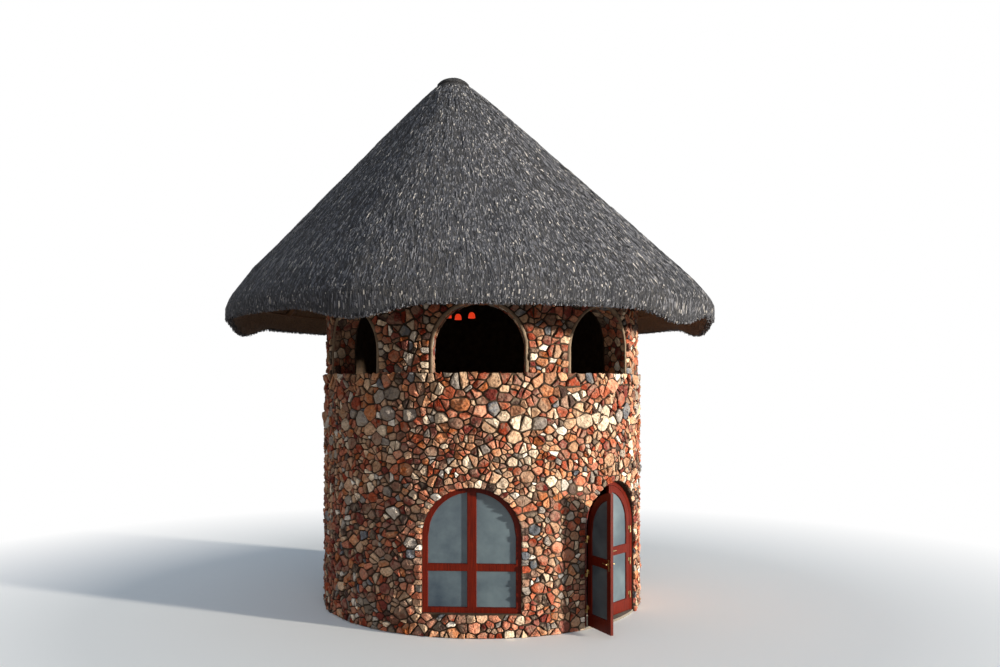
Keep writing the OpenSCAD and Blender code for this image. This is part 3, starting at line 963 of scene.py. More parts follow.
def set_stones(cutter, rubble, radius, joint, prefix, tones, height):
    """Cuts every stone of a strip that lies on a round wall."""
    rng = rubble.rng
    lay = wall_point(radius)
    for (u, z, r), whole in rubble.outlines(joint):
        near = min((o.gap(u, z) for o in rubble.openings), default=9)
        boulder = r > BOULDER_R and between(z, ROUNDER_Z) and rng.random() < 0.8
        parts = [whole]
        if near > 0.2 and not boulder and r > 0.05 and rng.random() < 0.55:
            parts = split(whole, rng, joint)
        for poly in parts:
            if len(poly) < 3:
                continue
            cut = 0.24 if boulder else 0.13 if near < 0.2 else 0.1
            if near > 0.1 and not boulder:
                poly = loosened(poly, rng)
            outline = worn_outline(poly, rng, 0.035 if near < 0.3 else 0.06, cut)
            deep = []
            trimmed = []
            for pu, pz in outline:
                low = None
                for o in rubble.openings:
                    pu, pz, touched = o.kept_out(pu, pz)
                    if touched and o.margin < 0.02:
                        x = o.across(pu)
                        y = -(math.sqrt(radius**2 - x**2) - JAMB_DEPTH)
                        c, s = math.cos(o.azimuth), math.sin(o.azimuth)
                        low = (c * x - s * y, s * x + c * y, max(pz, 0.001))
                if pz > rubble.high - 0.03 and rubble.ragged:
                    pz = rubble.high + rubble.ragged * rng.uniform(-0.6, 1.0)
                    a, inner = pu / radius, radius - HEAD_DEPTH
                    low = (inner * math.sin(a), -inner * math.cos(a), pz - 0.02)
                trimmed.append((pu, min(max(pz, rubble.low + 0.002), rubble.high + 0.03)))
                deep.append(low)
            base, proud = height(u, z, rng)
            cutter.stone(
                f"{prefix}_{side_name(u, radius)}",
                trimmed,
                lambda a, b, h, base=base: lay(a, b, h + base if h > 0 else h),
                proud,
                pick_tone(rng, tones(z, r)),
                rng.random(),
                deep,
                detail=r > 0.04,
                dome=1.0 if boulder else 0.0,
            )


def azimuth_of(u, radius):
    """Degrees from -180 to 180 of an arc length along the wall."""
    a = math.degrees(u / radius)
    return a - 360 * round(a / 360)


# Half widths of stones at a stone size of 80 mm, and the tries at each in either wall
STONE_LADDER = (0.12, 0.098, 0.078, 0.06, 0.043, 0.033)
LOWER_TRIES = (500, 1500, 5000, 9000, 7000, 4000)
UPPER_TRIES = (300, 900, 2500, 3500, 2500, 1500)
UPPER_TOP, RING_STONE = 5.72, 0.058
# Where the open leaf lies near the wall, in degrees and metres, and the relief of stones there
LEAF_SWEEP, LEAF_SWEEP_TOP, LOW_RELIEF = (DOOR_AZ - 27, DOOR_AZ - 13), 2.3, 0.010


def build_wall_stones(sizes):
    cutter = StoneCutter(random.Random(11))
    lower = Rubble(
        21,
        2 * math.pi * WALL_R,
        0.0,
        SILL_Z,
        [
            *(Opening(a, HALF_OPENING, WINDOW_SILL, SPRING_Z, WALL_R, -0.003) for a in WINDOW_AZ),
            Opening(DOOR_AZ, HALF_OPENING, -0.2, SPRING_Z, WALL_R, -0.003),
        ],
        grade=lambda z: 1.35 if between(z, LARGER_Z) else 1.2 if z >= LARGER_Z[1] else 1.0,
        ragged=0.02,
    )
    lower.line_openings(RING_STONE)
    k = sizes.stone_size / 0.08
    lower.fill([(size * k, tries) for size, tries in zip(STONE_LADDER, LOWER_TRIES)])

    def lower_height(u, z, rng):
        lifted = 0.014 if z > SILL_BOTTOM - 0.01 else 0.0
        beside_door = between(azimuth_of(u, WALL_R), LEAF_SWEEP) and z < LEAF_SWEEP_TOP
        most = LOW_RELIEF if beside_door else sizes.stone_relief
        return lifted, most * rng.uniform(0.55, 1.25)

    def lower_tones(z, r):
        if between(z, PALER_Z) and r > BOULDER_R:
            return PALE_TONES
        # Warmer stones above 1.9 m are painted sunlight; browner and greyer ones below are painted
        # shade.
        return PAINTED_SUN_TONES if z > 1.9 else PAINTED_SHADE_TONES

    joint = sizes.joint_width / 2
    set_stones(cutter, lower, WALL_R, joint, "lower_stones", lower_tones, lower_height)
    upper = Rubble(
        22,
        2 * math.pi * UPPER_R,
        SILL_Z,
        UPPER_TOP,
        [
            Opening(azimuth, half, SILL_Z - 0.5, spring, UPPER_R, 0.045)
            for azimuth, half, spring in ARCHES
        ],
        grade=lambda z: 1.15 if z < 5.05 else 1.6,
    )
    upper.line_openings(RING_STONE)
    upper.fill([(size * k, tries) for size, tries in zip(STONE_LADDER, UPPER_TRIES)])
    set_stones(
        cutter,
        upper,
        UPPER_R,
        joint,
        "upper_stones",
        # Warmer stones below 4.5 m are painted sunlight; browner and greyer ones above are painted
        # shade under the eave.
        lambda z, r: PAINTED_SUN_TONES if z < 4.5 else PAINTED_SHADE_TONES,
        lambda u, z, rng: (0.0, sizes.stone_relief * rng.uniform(0.55, 1.2)),
    )
    lay_out(cutter)
    return cutter


def arch_outline(s, half, side):
    """Point and outward direction at length s along an arch from its left foot."""
    total = 2 * side + math.pi * half
    if s < side:
        return (-half, s), (-1.0, 0.0)
    if s > total - side:
        return (half, total - s), (1.0, 0.0)
    turn = (s - side) / half
    way = (-math.cos(turn), math.sin(turn))
    return (half * way[0], side + half * way[1]), way


def turned(azimuth, x, y, z):
    c, s = math.cos(math.radians(azimuth)), math.sin(math.radians(azimuth))
    return c * x - s * y, s * x + c * y, z


def build_reveal_stones(sizes):
    """Stones on the thickness of the wall inside the upper arches."""
    cutter = StoneCutter(random.Random(31))
    for number, (azimuth, half, spring) in enumerate(ARCHES):
        side = spring - SILL_Z
        total = 2 * side + math.pi * half
        rubble = Rubble(40 + number, total, 0.0, 0.40, closed=False)
        rubble.fill([(0.085, 60), (0.065, 200), (0.05, 400), (0.036, 300)])

        def lay(s, t, h, azimuth=azimuth, half=half, side=side, total=total):
            (x, z), (wx, wz) = arch_outline(min(max(s, 0.0), total), half, side)
            x, z = x - h * wx, z - h * wz
            y = math.sqrt(UPPER_R**2 - min(abs(x), half) ** 2) - 0.006 - t
            return turned(azimuth, x, -y, max(SILL_Z + z, SILL_Z + 0.001))

        for _, poly in rubble.outlines(sizes.joint_width / 2):
            cutter.stone(
                "reveal_stones",
                worn_outline(poly[::-1], rubble.rng, 0.06, 0.12),
                lay,
                0.010 * rubble.rng.uniform(0.6, 1.2),
                # Browner, greyer stones in the reveals are painted shade.
                pick_tone(rubble.rng, PAINTED_SHADE_TONES),
                rubble.rng.random(),
                detail=False,
            )
    lay_out(cutter)
    return cutter


def build_arch_bands():
    """A smoothed band of mortar on the wall's face round each upper arch."""
    shell = Shell()
    section = (
        (-0.004, -0.05),
        (-0.004, 0.006),
        (0.006, 0.014),
        (0.024, 0.017),
        (0.04, 0.013),
        (0.05, -0.02),
    )
    steps = 110
    for number, (azimuth, half, spring) in enumerate(ARCHES):
        side = spring - SILL_Z
        total = 2 * side + math.pi * half
        rows = []
        for i in range(steps + 1):
            s = total * i / steps
            (x, z), (wx, wz) = arch_outline(s, half, side)
            here = np.array([[x * 3, z * 3, number * 7.0]])
            uneven = 0.005 * drift(here, 0.35, 5)[0] + 0.003 * drift(here, 0.1, 6)[0]
            row = []
            for k, (out, high) in enumerate(section):
                off = out + (uneven if k > 1 else 0)
                px, pz = x + off * wx, z + off * wz
                y = math.sqrt(UPPER_R**2 - px**2) + high + (0.5 * uneven if high > 0 else 0)
                patch = ((number + (k + 0.5) / len(section)) / len(ARCHES), i / steps)
                row.append(shell.add(turned(azimuth, px, -y, max(SILL_Z + pz, SILL_Z)), patch))
            rows.append(row)
        for a, b in zip(rows, rows[1:]):
            shell.strip(a, b)
    return shell


def dip(azimuth):
    """How much lower the trimmed edge hangs at each azimuth, in degrees."""
    most = np.zeros_like(azimuth)
    for d in DIPS:
        away = azimuth - d
        away = (away - 360 * np.round(away / 360)) / DIP_HALF
        most = np.maximum(most, np.where(np.abs(away) > 1, 0, np.cos(np.pi / 2 * away) ** 2))
    return DIP_DEPTH * most


def slope_points(azimuth, s, face=True, low=0.0):
    """Points of the slanting cone at azimuths in degrees and shares s of the slope."""
    a = np.radians(azimuth)
    z = APEX_Z - (np.sqrt((s * DROP) ** 2 + APEX_ROUND**2) if face else s * DROP) - low
    x = APEX_X + s * (EAVE_X - APEX_X) + s * EAVE_R * np.sin(a)
    return np.stack([x, -s * EAVE_R * np.cos(a), z + 0 * a], axis=-1)


def nose_points(azimuth, r, z):
    a = np.radians(azimuth)
    return np.stack([EAVE_X + r * np.sin(a), -r * np.cos(a), z + 0 * a], axis=-1)


def cut_corners(rows):
    """Two rows between each pair, at a quarter from either."""
    near, far = rows[:-1], rows[1:]
    return np.stack([0.75 * near + 0.25 * far, 0.25 * near + 0.75 * far], 1)


def row_gaps(grid):
    """Mean distance from each row to the next."""
    return np.linalg.norm(np.diff(grid, axis=0), axis=2).mean(axis=1)


class Coat:
    """The coat of thatch: outer slope, rolled eave and underside, as rows round the roof."""

    def __init__(self, around, relief):
        self.around = around
        azimuth = np.arange(around) * 360.0 / around
        trim = TRIM_Z - dip(azimuth)
        down_slope = (CAP_S * 0.4, *np.linspace(CAP_S, 0.885, 35))
        rows = [slope_points(azimuth, np.full(around, s)) for s in down_slope]
        rows += [
            nose_points(azimuth, EAVE_R * 0.938, EDGE_Z + 0.225),
            nose_points(azimuth, EAVE_R * 0.974, EDGE_Z + 0.03),
            nose_points(azimuth, EAVE_R * 0.993, EDGE_Z - TURN_H * 0.7),
            nose_points(azimuth, EAVE_R, EDGE_Z - TURN_H * 1.35),
            nose_points(azimuth, EAVE_R - TRIM_IN / 4, trim + TRIM_IN * 0.75),
            nose_points(azimuth, EAVE_R - TRIM_IN, trim),
            nose_points(azimuth, EAVE_R - TRIM_IN * 2.5, trim + TRIM_IN * 0.75),
        ]
        outer = len(rows)
        rows += [
            slope_points(azimuth, np.full(around, s), False, THATCH_V)
            for s in (0.93, 0.86, 0.8, 0.7, 0.6, 0.5, 0.4, 0.3, 0.2, 0.1, 0.03)
        ]
        grid = np.array(rows)
        kind = np.array([0.0] * (outer - 1) + [0.8] + [1.0] * (len(rows) - outer))
        for _ in range(2):
            cuts = cut_corners(grid).reshape(-1, around, 3)
            grid = np.concatenate([grid[:1], cuts, grid[-1:]])
            kind = np.concatenate([kind[:1], cut_corners(kind).ravel(), kind[-1:]])
            keep = np.ones(len(grid), bool)
            keep[1:-1] = row_gaps(grid)[:-1] > 0.012
            grid, kind = grid[keep], kind[keep]
        self.kind = kind
        self.along = np.concatenate([[0], np.cumsum(row_gaps(grid))])
        down = np.gradient(grid, axis=0)
        side = np.roll(grid, -1, axis=1) - np.roll(grid, 1, axis=1)
        normal = np.cross(side, down)
        self.normal = normal / (np.linalg.norm(normal, axis=2, keepdims=True) + 1e-12)
        a = np.radians(azimuth)
        self.lay = np.empty_like(grid)
        self.lay[..., 0] = EAVE_R * np.sin(a)[None, :]
        self.lay[..., 1] = EAVE_R * np.cos(a)[None, :]
        self.lay[..., 2] = self.along[:, None]
        flat = self.lay.reshape(-1, 3) * (1, 1, 0.3)
        bundles = drift(flat, 0.13, 3) * 0.6 + drift(flat, 0.06, 4) * 0.4
        broad = drift(grid.reshape(-1, 3), 0.8, 5)
        swell = (relief * bundles + 0.012 * broad - 0.004).reshape(len(grid), around)
        swell *= (1 - 0.7 * kind)[:, None] * np.clip((self.along - 0.25) / 0.5, 0.15, 1)[:, None]
        self.grid = held_in(grid + self.normal * swell[..., None], 0.024)

    def sample(self, kept, along, turn):
        """Values of a grid at lengths down the slope and shares of a turn."""
        row = np.clip(np.searchsorted(self.along, along) - 1, 0, len(self.along) - 2)
        f = (along - self.along[row]) / (self.along[row + 1] - self.along[row])
        column = turn * self.around
        left = np.floor(column).astype(int)
        g = (column - left)[:, None]
        left, right = left % self.around, (left + 1) % self.around
        f = f[:, None]
        upper = kept[row, left] * (1 - g) + kept[row, right] * g
        lower = kept[row + 1, left] * (1 - g) + kept[row + 1, right] * g
        return upper * (1 - f) + lower * f

    def mesh(self):
        tall, around = self.grid.shape[:2]
        index = np.arange(tall * around).reshape(tall, around)
        after = np.roll(index, -1, axis=1)
        faces = np.stack([index[:-1], index[1:], after[1:], after[:-1]], axis=-1).reshape(-1, 4)
        left = np.broadcast_to(np.arange(around) / around, (tall - 1, around))
        v = self.along / self.along[-1]
        high = np.broadcast_to(v[:-1, None], (tall - 1, around))
        low = np.broadcast_to(v[1:, None], (tall - 1, around))
        right = left + 1 / around
        ends = ((left, high), (left, low), (right, low), (right, high))
        pairs = [np.stack(pair, -1) for pair in ends]
        values = {"lay": self.lay.reshape(-1, 3), "under": np.repeat(self.kind, around)}
        return self.grid.reshape(-1, 3), faces.tolist(), values, np.stack(pairs, axis=2).reshape(-1, 2)


def held_in(points, inside=0.001):
    """Points drawn back to just inside the roof's outer radius where they pass it."""
    points = np.array(points)
    reach = np.hypot(points[..., 0] - EAVE_X, points[..., 1])
    keep = np.minimum(1, (EAVE_R - inside) / np.maximum(reach, 1e-9))
    points[..., 0] = EAVE_X + (points[..., 0] - EAVE_X) * keep
    points[..., 1] *= keep
    return points


def blades(rng, spine, side, out, widths, tone):
    """Flat reed ends. spine holds the head, middle and foot of each, and out points off the thatch."""
    n = len(side)
    skew = rng.uniform(-0.014, 0.014, n)
    roll = rng.uniform(-0.85, 0.85, n) * widths
    rows = []
    for (point, wide), lean in zip(zip(spine, (0.55, 0.9, 1.0)), (0.0, 0.5, 1.0)):
        half = side * (wide * widths / 2)[:, None] + out * (roll * min(1.0, lean * 2) / 2)[:, None]
        middle = point + side * (skew * lean)[:, None]
        rows += [middle - half, middle + half]
    points = np.stack(rows, axis=1)
    cells = math.ceil(math.sqrt(n))
    column, row = np.arange(n) % cells, np.arange(n) // cells
    spots = [
        np.stack([(column + dx) / cells, (row + dy) / cells], -1)
        for dy in (0.9, 0.5, 0.1)
        for dx in (0.1, 0.9)
    ]
    corners = np.array([(0, 1, 3, 2), (2, 3, 5, 4)])
    uv = np.stack(spots, axis=1)[:, corners.ravel()]
    faces = (np.arange(n)[:, None, None] * 6 + corners[None]).reshape(-1, 4).tolist()
    values = {"tone": np.repeat(np.clip(tone, 0, 1), 6)}
    return held_in(points.reshape(-1, 3)), faces, values, uv.reshape(-1, 2)


def build_reed_ends(coat, count):
    """Reed ends all over the slope and the rolled eave, thinning out towards the cap."""
    rng = np.random.default_rng(51)
    outside = coat.kind < 0.3
    first = int(np.argmax(coat.along > 0.33))
    last = int(np.max(np.nonzero(outside)))
    radius = np.hypot(coat.grid[..., 0] - EAVE_X, coat.grid[..., 1]).mean(axis=1)
    share = np.zeros(len(coat.along))
    share[first:last] = radius[first:last] * np.diff(coat.along)[first:last]
    total = np.cumsum(share)
    along = np.interp(rng.random(count) * total[-1], total, coat.along)
    turn = rng.random(count)
    end = coat.along[last]
    lengths = rng.uniform(0.12, 0.27, count)
    tip = np.minimum(along + lengths, end + 0.02)
    widths = rng.uniform(0.012, 0.034, count)
    a = turn * 2 * math.pi
    side = np.stack([np.cos(a), np.sin(a), 0 * a], -1)
    lift = rng.uniform(0.008, 0.026, count)
    spine = []
    for at, high in ((along, -0.006 + 0 * lift), ((along + tip) / 2, 0.45 * lift), (tip, lift)):
        raised = coat.sample(coat.normal, at, turn) * high[:, None]
        spine.append(coat.sample(coat.grid, at, turn) + raised)
    tone = rng.normal(0.45, 0.2, count) + np.where(rng.random(count) < 0.06, 0.35, 0)
    return blades(rng, spine, side, coat.sample(coat.normal, tip, turn), widths, tone)


def build_eave_ends(count):
    """Reed ends that hang along the trimmed edge."""
    rng = np.random.default_rng(52)
    azimuth = rng.random(count) * 360
    trim = TRIM_Z - dip(azimuth)
    a = np.radians(azimuth)
    side = np.stack([np.cos(a), np.sin(a), 0 * a], -1)
    back = rng.uniform(0.015, 0.12, count)
    head = nose_points(azimuth, EAVE_R - back, trim + rng.uniform(0.03, 0.07, count))
    foot = nose_points(azimuth, EAVE_R - back - 0.01, trim - rng.uniform(-0.02, 0.02, count))
    widths = rng.uniform(0.007, 0.016, count)
    out = np.stack([np.sin(a), -np.cos(a), 0 * a], -1)
    return blades(rng, (head, (head + foot) / 2, foot), side, out, widths, rng.normal(0.42, 0.2, count))


def build_cap():
    """A shallow capping dome of packed reed, its rim a little ragged."""
    shell = Shell("under")
    lay = []
    radius, base_z = CAP_S * EAVE_R + CAP_LAP, APEX_Z - CAP_DROP
    top_z = base_z + CAP_H - 0.001
    around = 72
    section = [
        (0.55, -0.012),
        (0.92, -0.01),
        (1.0, 0.0),
        (0.98, 0.02),
        (0.91, 0.044),
        (0.79, 0.07),
        (0.63, 0.096),
        (0.43, 0.119),
        (0.2, 0.134),
    ]
    rows = []
    for k, (out, high) in enumerate(section):
        row = []
        for i in range(around):
            a = 2 * math.pi * i / around
            here = np.array([[math.sin(a), math.cos(a), k * 0.12]])
            wob = drift(here, 0.3, 8)[0]
            fine = drift(here, 0.09, 9)[0]
            uneven = 0.018 * wob + 0.012 * fine if out < 0.98 else 0.01 * fine - 0.012
            r = radius * out * (1 + uneven)
            z = min(base_z + high + 0.004 * wob + 0.003 * fine, top_z)
            ring = 1 - k / len(section)
            patch = (0.5 + 0.48 * ring * math.sin(a), 0.5 + 0.48 * ring * math.cos(a))
            point = (CAP_X + r * math.sin(a), -r * math.cos(a), z)
            row.append(shell.add(point, patch, under=1.0 if k == 0 else 0.0))
            lay.append((EAVE_R * math.sin(a) * 0.35, EAVE_R * math.cos(a) * 0.35, r))
        rows.append(row)
    shell.bands(rows)
    middle = shell.add((CAP_X, 0, top_z), (0.5, 0.5), under=0.0)
    lay.append((0, 0, 0))
    shell.fan(rows[-1], middle)
    shell.values["lay"] = lay
    return shell


def tube_ring(shell, path, thick, sides=6):
    """A closed pole along a ring of points."""
    n = len(path)
    rings = []
    for i in range(n):
        ahead = path[(i + 1) % n] - path[i - 1]
        ahead /= np.linalg.norm(ahead)
        up = np.array([0.0, 0.0, 1.0])
        right = np.cross(ahead, up)
        right /= np.linalg.norm(right)
        up = np.cross(right, ahead)
        ring = []
        for k in range(sides):
            t = 2 * math.pi * k / sides
            p = path[i] + thick * (math.cos(t) * right + math.sin(t) * up)
            ring.append(shell.add(p, (i / n, k / sides)))
        rings.append(ring)
    for i in range(n):
        shell.band(rings[i], rings[(i + 1) % n])


def build_laths():
    """Thin laths tied round under the thatch."""
    shell = Shell()
    around = 96
    azimuth = np.arange(around) * 360.0 / around
    for number, s in enumerate(np.linspace(0.16, 0.915, 15)):
        path = slope_points(azimuth, np.full(around, s), False, THATCH_V + 0.004)
        path = path + 0.006 * drift(path, 0.6, number)[:, None] * np.array([0.3, 0.3, 1.0])
        tube_ring(shell, path, 0.017)
    return shell


def pane_outline(radius, x0, x1, z0, z1, spring):
    """Outline, anticlockwise, of the part of an arched light between two uprights and two rails."""

    def edge(x):
        return spring + math.sqrt(max(radius**2 - x**2, 0))

    points = [(x0, z0), (x1, z0)]
    steps = 18
    for i in range(steps + 1):
        x = x1 + (x0 - x1) * i / steps
        points.append((x, min(z1, edge(min(abs(x), radius) * (1 if x > 0 else -1)))))
    kept = apart(points, 0.002)
    if math.hypot(kept[0][0] - kept[-1][0], kept[0][1] - kept[-1][1]) < 0.002:
        kept.pop()
    return kept


def inset_ring(points, by):
    """A closed outline moved inwards by a distance, with mitred corners."""
    n = len(points)
    out = []
    for i in range(n):
        a, b, c = np.array(points[i - 1]), np.array(points[i]), np.array(points[(i + 1) % n])
        d0, d1 = (b - a) / np.linalg.norm(b - a), (c - b) / np.linalg.norm(c - b)
        n0, n1 = np.array([-d0[1], d0[0]]), np.array([-d1[1], d1[0]])
        mid = n0 + n1
        mid /= np.linalg.norm(mid)
        out.append(tuple(b + mid * by / max(0.35, float(mid @ n0))))
    return out


# Inset and height of a glazing bead's section
BEAD = ((-0.004, 0.0), (-0.004, 0.006), (-0.001, 0.009), (0.003, 0.009), (0.006, 0.006), (0.008, 0.0))
BEAD_H = 0.009
# Front and back of the glass behind the frame's face, in the windows and in the leaves
WINDOW_GLASS, LEAF_GLASS = (0.036, 0.044), (0.0185, 0.0265)


def add_bead(shell, outline, place_at, depth):
    """A moulded bead round a pane. place_at maps x, z and a height off the glass to a point."""
    rings = []
    for inset, high in BEAD:
        ring = inset_ring(outline, inset)
        rings.append([shell.add(place_at(x, z, depth * high / BEAD_H)) for x, z in ring])
    shell.bands(rings)


def build_window_beads():
    shell = Shell()
    radius = HALF_OPENING - FRAME_W
    heights = (
        (WINDOW_SILL + FRAME_W, TRANSOM_Z - TRANSOM_HALF),
        (TRANSOM_Z + TRANSOM_HALF, PAST_ARCH),
    )
    for azimuth in WINDOW_AZ:
        for side in (-1, 1):
            x0, x1 = (MULLION_HALF, radius) if side > 0 else (-radius, -MULLION_HALF)
            for z0, z1 in heights:
                outline = pane_outline(radius, x0, x1, z0, z1, SPRING_Z)
                for out in (1, -1):
                    y0 = FRAME_Y - WINDOW_GLASS[0 if out > 0 else 1]
                    add_bead(
                        shell,
                        outline if out > 0 else outline[::-1],
                        lambda x, z, h, a=azimuth, y0=y0, out=out: turned(a, x, -(y0 + out * h), z),
                        0.026 if out > 0 else 0.02,
                    )
    return shell


LEAF_R, LEAF_BASE = HALF_OPENING - FRAME_W - 0.006, THRESHOLD + 0.010
PIN_X, PIN_Y = -(HALF_OPENING - FRAME_W - 0.003), -(FRAME_Y + 0.010)


def leaf_place(side, open_by):
    """Maps a point of the left leaf, drawn closed, to the doorway. side -1 is left, 1 is right."""
    c, s = math.cos(math.radians(-open_by)), math.sin(math.radians(-open_by))

    def at(x, y, z):
        dx, dy = x - PIN_X, y - PIN_Y
        x, y = PIN_X + c * dx - s * dy, PIN_Y + s * dx + c * dy
        return turned(DOOR_AZ, -side * x if side > 0 else x, y, z)

    return at


def build_leaf_beads(side):
    shell = Shell()
    at = leaf_place(side, LEAF_OPEN if side < 0 else 0)
    radius = LEAF_R - STILE_W
    right = -0.005 - STILE_W
    low, high = LEAF_BASE + BOTTOM_RAIL_H, MID_RAIL_Z - MID_RAIL_H / 2
    for z0, z1 in ((low, high), (high + MID_RAIL_H, PAST_ARCH)):
        outline = pane_outline(radius, -radius, right, z0, z1, SPRING_Z)
        for out in (1, -1):
            y0 = FRAME_Y - LEAF_GLASS[0 if out > 0 else 1]
            add_bead(
                shell,
                outline,
                lambda x, z, h, y0=y0, out=out: at(x, -(y0 + out * h), z),
                0.0135,
            )
    return shell


LAMP_X, LAMP_Z, LAMP_ARM = -0.40, 4.96, 0.24
LAMP_TURNS, SHADE_R = (66.5, 186.5, 306.5), 0.0615
SHADE_PROFILE = [
    (0.93, -0.050),
    (1.0, -0.053),
    (0.99, -0.036),
    (0.96, -0.012),
    (0.88, 0.012),
    (0.74, 0.032),
    (0.52, 0.046),
    (0.26, 0.053),
    (0.22, 0.046),
    (0.48, 0.038),
    (0.7, 0.022),
    (0.82, 0.004),
    (0.88, -0.016),
    (0.91, -0.036),
]
SOCKET_PROFILE = [(0.3, 0.044), (0.3, 0.062), (0.24, 0.072), (0.2, 0.1), (0.06, 0.1), (0.06, 0.046)]


def build_lamp_part(profile, flutes, depth):
    """A turned part of each of the lamp's three lights, with shallow flutes towards its rim."""
    shell = Shell()
    around = 48
    for turn in LAMP_TURNS:
        a = math.radians(turn)
        cx, cy = LAMP_X + LAMP_ARM * math.sin(a), -LAMP_ARM * math.cos(a)
        rings = []
        for out, high in profile:
            ring = []
            for i in range(around):
                t = 2 * math.pi * i / around
                low = max(0.0, min(1.0, (0.03 - high) / 0.08))
                r = SHADE_R * out * (1 - depth * low * (0.5 - 0.5 * math.cos(flutes * t)))
                ring.append(shell.add((cx + r * math.cos(t), cy + r * math.sin(t), LAMP_Z + high)))
            rings.append(ring)
        for k, ring in enumerate(rings):
            shell.band(ring, rings[(k + 1) % len(rings)])
    return shell


class RondavelWallSettings(bpy.types.PropertyGroup):
    stone_size: FloatProperty(
        name="Stone size",
        description="Usual half width of a wall stone",
        default=0.072,
        min=0.05,
        max=0.12,
        unit="LENGTH",
    )
    joint_width: FloatProperty(
        name="Joint width",
        description="Width of the mortar between stones",
        default=0.015,
        min=0.002,
        max=0.03,
        unit="LENGTH",
    )
    stone_relief: FloatProperty(
        name="Stone relief",
        description="How far a stone stands out of the mortar",
        default=0.037,
        min=0.005,
        max=0.05,
        unit="LENGTH",
    )


class RondavelThatchSettings(bpy.types.PropertyGroup):
    thatch_columns: IntProperty(
        name="Columns", description="Divisions of the thatch round the roof", default=400, min=96
    )
    thatch_relief: FloatProperty(
        name="Bundle relief",
        description="Height of the reed bundles on the slope",
        default=0.016,
        min=0.0,
        max=0.04,
        unit="LENGTH",
    )
    reed_ends: IntProperty(
        name="Reed ends", description="Number of single reed ends on the slope", default=48000, min=0
    )
    eave_ends: IntProperty(
        name="Eave ends", description="Number of reed ends along the eave", default=9000, min=0
    )


class RondavelStageSettings(bpy.types.PropertyGroup):
    lens: FloatProperty(
        name="Lens", description="Focal length on a 36 mm wide sensor", default=32.65, min=10
    )
    camera_at: FloatVectorProperty(
        name="Camera",
        description="Place of the camera",
        default=(0.0, -16.0, 3.65),
        subtype="TRANSLATION",
    )
    floor_colour: FloatVectorProperty(
        name="Floor",
        description="Colour of the stage floor",
        default=(0.93, 0.91, 0.87),
        subtype="COLOR",
    )


MASONRY = ("pier_", "storey_wall_", "upper_wall_", "upper_piers", "window_breasts", "sill_")


class RONDAVEL_OT_walls(bpy.types.Operator):
    """Sets the rubble stones over the lower and upper walls"""

    bl_idname = "rondavel.walls"
    bl_label = "Rubble walls"

    def execute(self, context):
        sizes = context.scene.rondavel_walls
        for cutter in (build_wall_stones(sizes), build_reveal_stones(sizes)):
            for key, shell in sorted(cutter.shells.items()):
                shell_piece(key, shell, finish("stone"), "rubble_stone")
        shell_piece("arch_bands", build_arch_bands(), finish("band"), "rubble_stone", smooth=True)
        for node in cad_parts:
            if node.startswith(MASONRY):
                dress(node, "mortar")
        return {"FINISHED"}


class RONDAVEL_OT_floors(bpy.types.Operator):
    """Gives the floors and the door's threshold their concrete"""

    bl_idname = "rondavel.floors"
    bl_label = "Floors"

    def execute(self, context):
        for node in ("ground_floor", "upper_floor", "door_threshold"):
            dress(node, "concrete")
        return {"FINISHED"}


class RONDAVEL_OT_thatch(bpy.types.Operator):
    """Lays the coat of thatch, its reed ends and the cap"""

    bl_idname = "rondavel.thatch"
    bl_label = "Thatch"

    def execute(self, context):
        sizes = context.scene.rondavel_thatch
        coat = Coat(sizes.thatch_columns, sizes.thatch_relief)
        points, faces, values, uv = coat.mesh()
        outer = make_piece(
            "thatch_coat",
            points,
            faces,
            finish("reed"),
            "thatch",
            values=values,
            uv=uv,
            smooth=True,
        )
        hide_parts("thatch")
        for name, (points, faces, values, uv) in (
            ("slope_reed_ends", build_reed_ends(coat, sizes.reed_ends)),
            ("eave_reed_ends", build_eave_ends(sizes.eave_ends)),
        ):
            make_piece(name, points, faces, finish("tuft"), "thatch", values=values, uv=uv)
        cap = shell_piece("reed_cap", build_cap(), finish("reed"), "thatch", smooth=True)
        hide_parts("thatch_cap")
        return {"FINISHED"}


class RONDAVEL_OT_roof_poles(bpy.types.Operator):
    """Finishes the poles of the roof and ties the laths over them"""

    bl_idname = "rondavel.roof_poles"
    bl_label = "Roof poles"

    def execute(self, context):
        for node in ("wall_plate", "main_rafters", "short_rafters", "header_poles", "king_block"):
            dress(node, "pole")
        laths = build_laths()
        shell_piece("roof_laths", laths, finish("lath"), "pole_wood", mapped=False, smooth=True)
        return {"FINISHED"}


class RONDAVEL_OT_joinery(bpy.types.Operator):
    """Finishes frames, leaves and glass, and fits the glazing beads"""

    bl_idname = "rondavel.joinery"
    bl_label = "Windows and door"

    def execute(self, context):
        for node in ("window_frames", "door_frame", "left_leaf", "right_leaf"):
            dress(node, "joinery")
        for node in ("window_glass", "left_leaf_glass", "right_leaf_glass"):
            dress(node, "glass")
        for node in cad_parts:
            if node.endswith(("_hinges", "_handle")):
                dress(node, "brass")
        beads = build_window_beads()
        shell_piece("window_beads", beads, finish("joinery"), "stained_wood", mapped=False)
        for side, name in ((-1, "left"), (1, "right")):
            shell_piece(
                f"{name}_leaf_beads",
                build_leaf_beads(side),
                finish("joinery"),
                "stained_wood",
                mapped=False,
                body=f"{name}_door_leaf",
            )
        return {"FINISHED"}


class RONDAVEL_OT_lamp(bpy.types.Operator):
    """Finishes the hanging lamp and its shades"""

    bl_idname = "rondavel.lamp"
    bl_label = "Hanging lamp"

    def execute(self, context):
        dress("hanging_lamp", "iron")
        shades = shell_piece(
            "fluted_lamp_shades",
            build_lamp_part(SHADE_PROFILE, 12, 0.09),
            finish("lamp"),
            "lamp_glass",
            mapped=False,
            smooth=True,
        )
        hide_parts("lamp_shades")
        shell_piece(
            "lamp_sockets",
            build_lamp_part(SOCKET_PROFILE, 1, 0.0),
            finish("iron"),
            "dark_iron",
            mapped=False,
            smooth=True,
        )
        return {"FINISHED"}


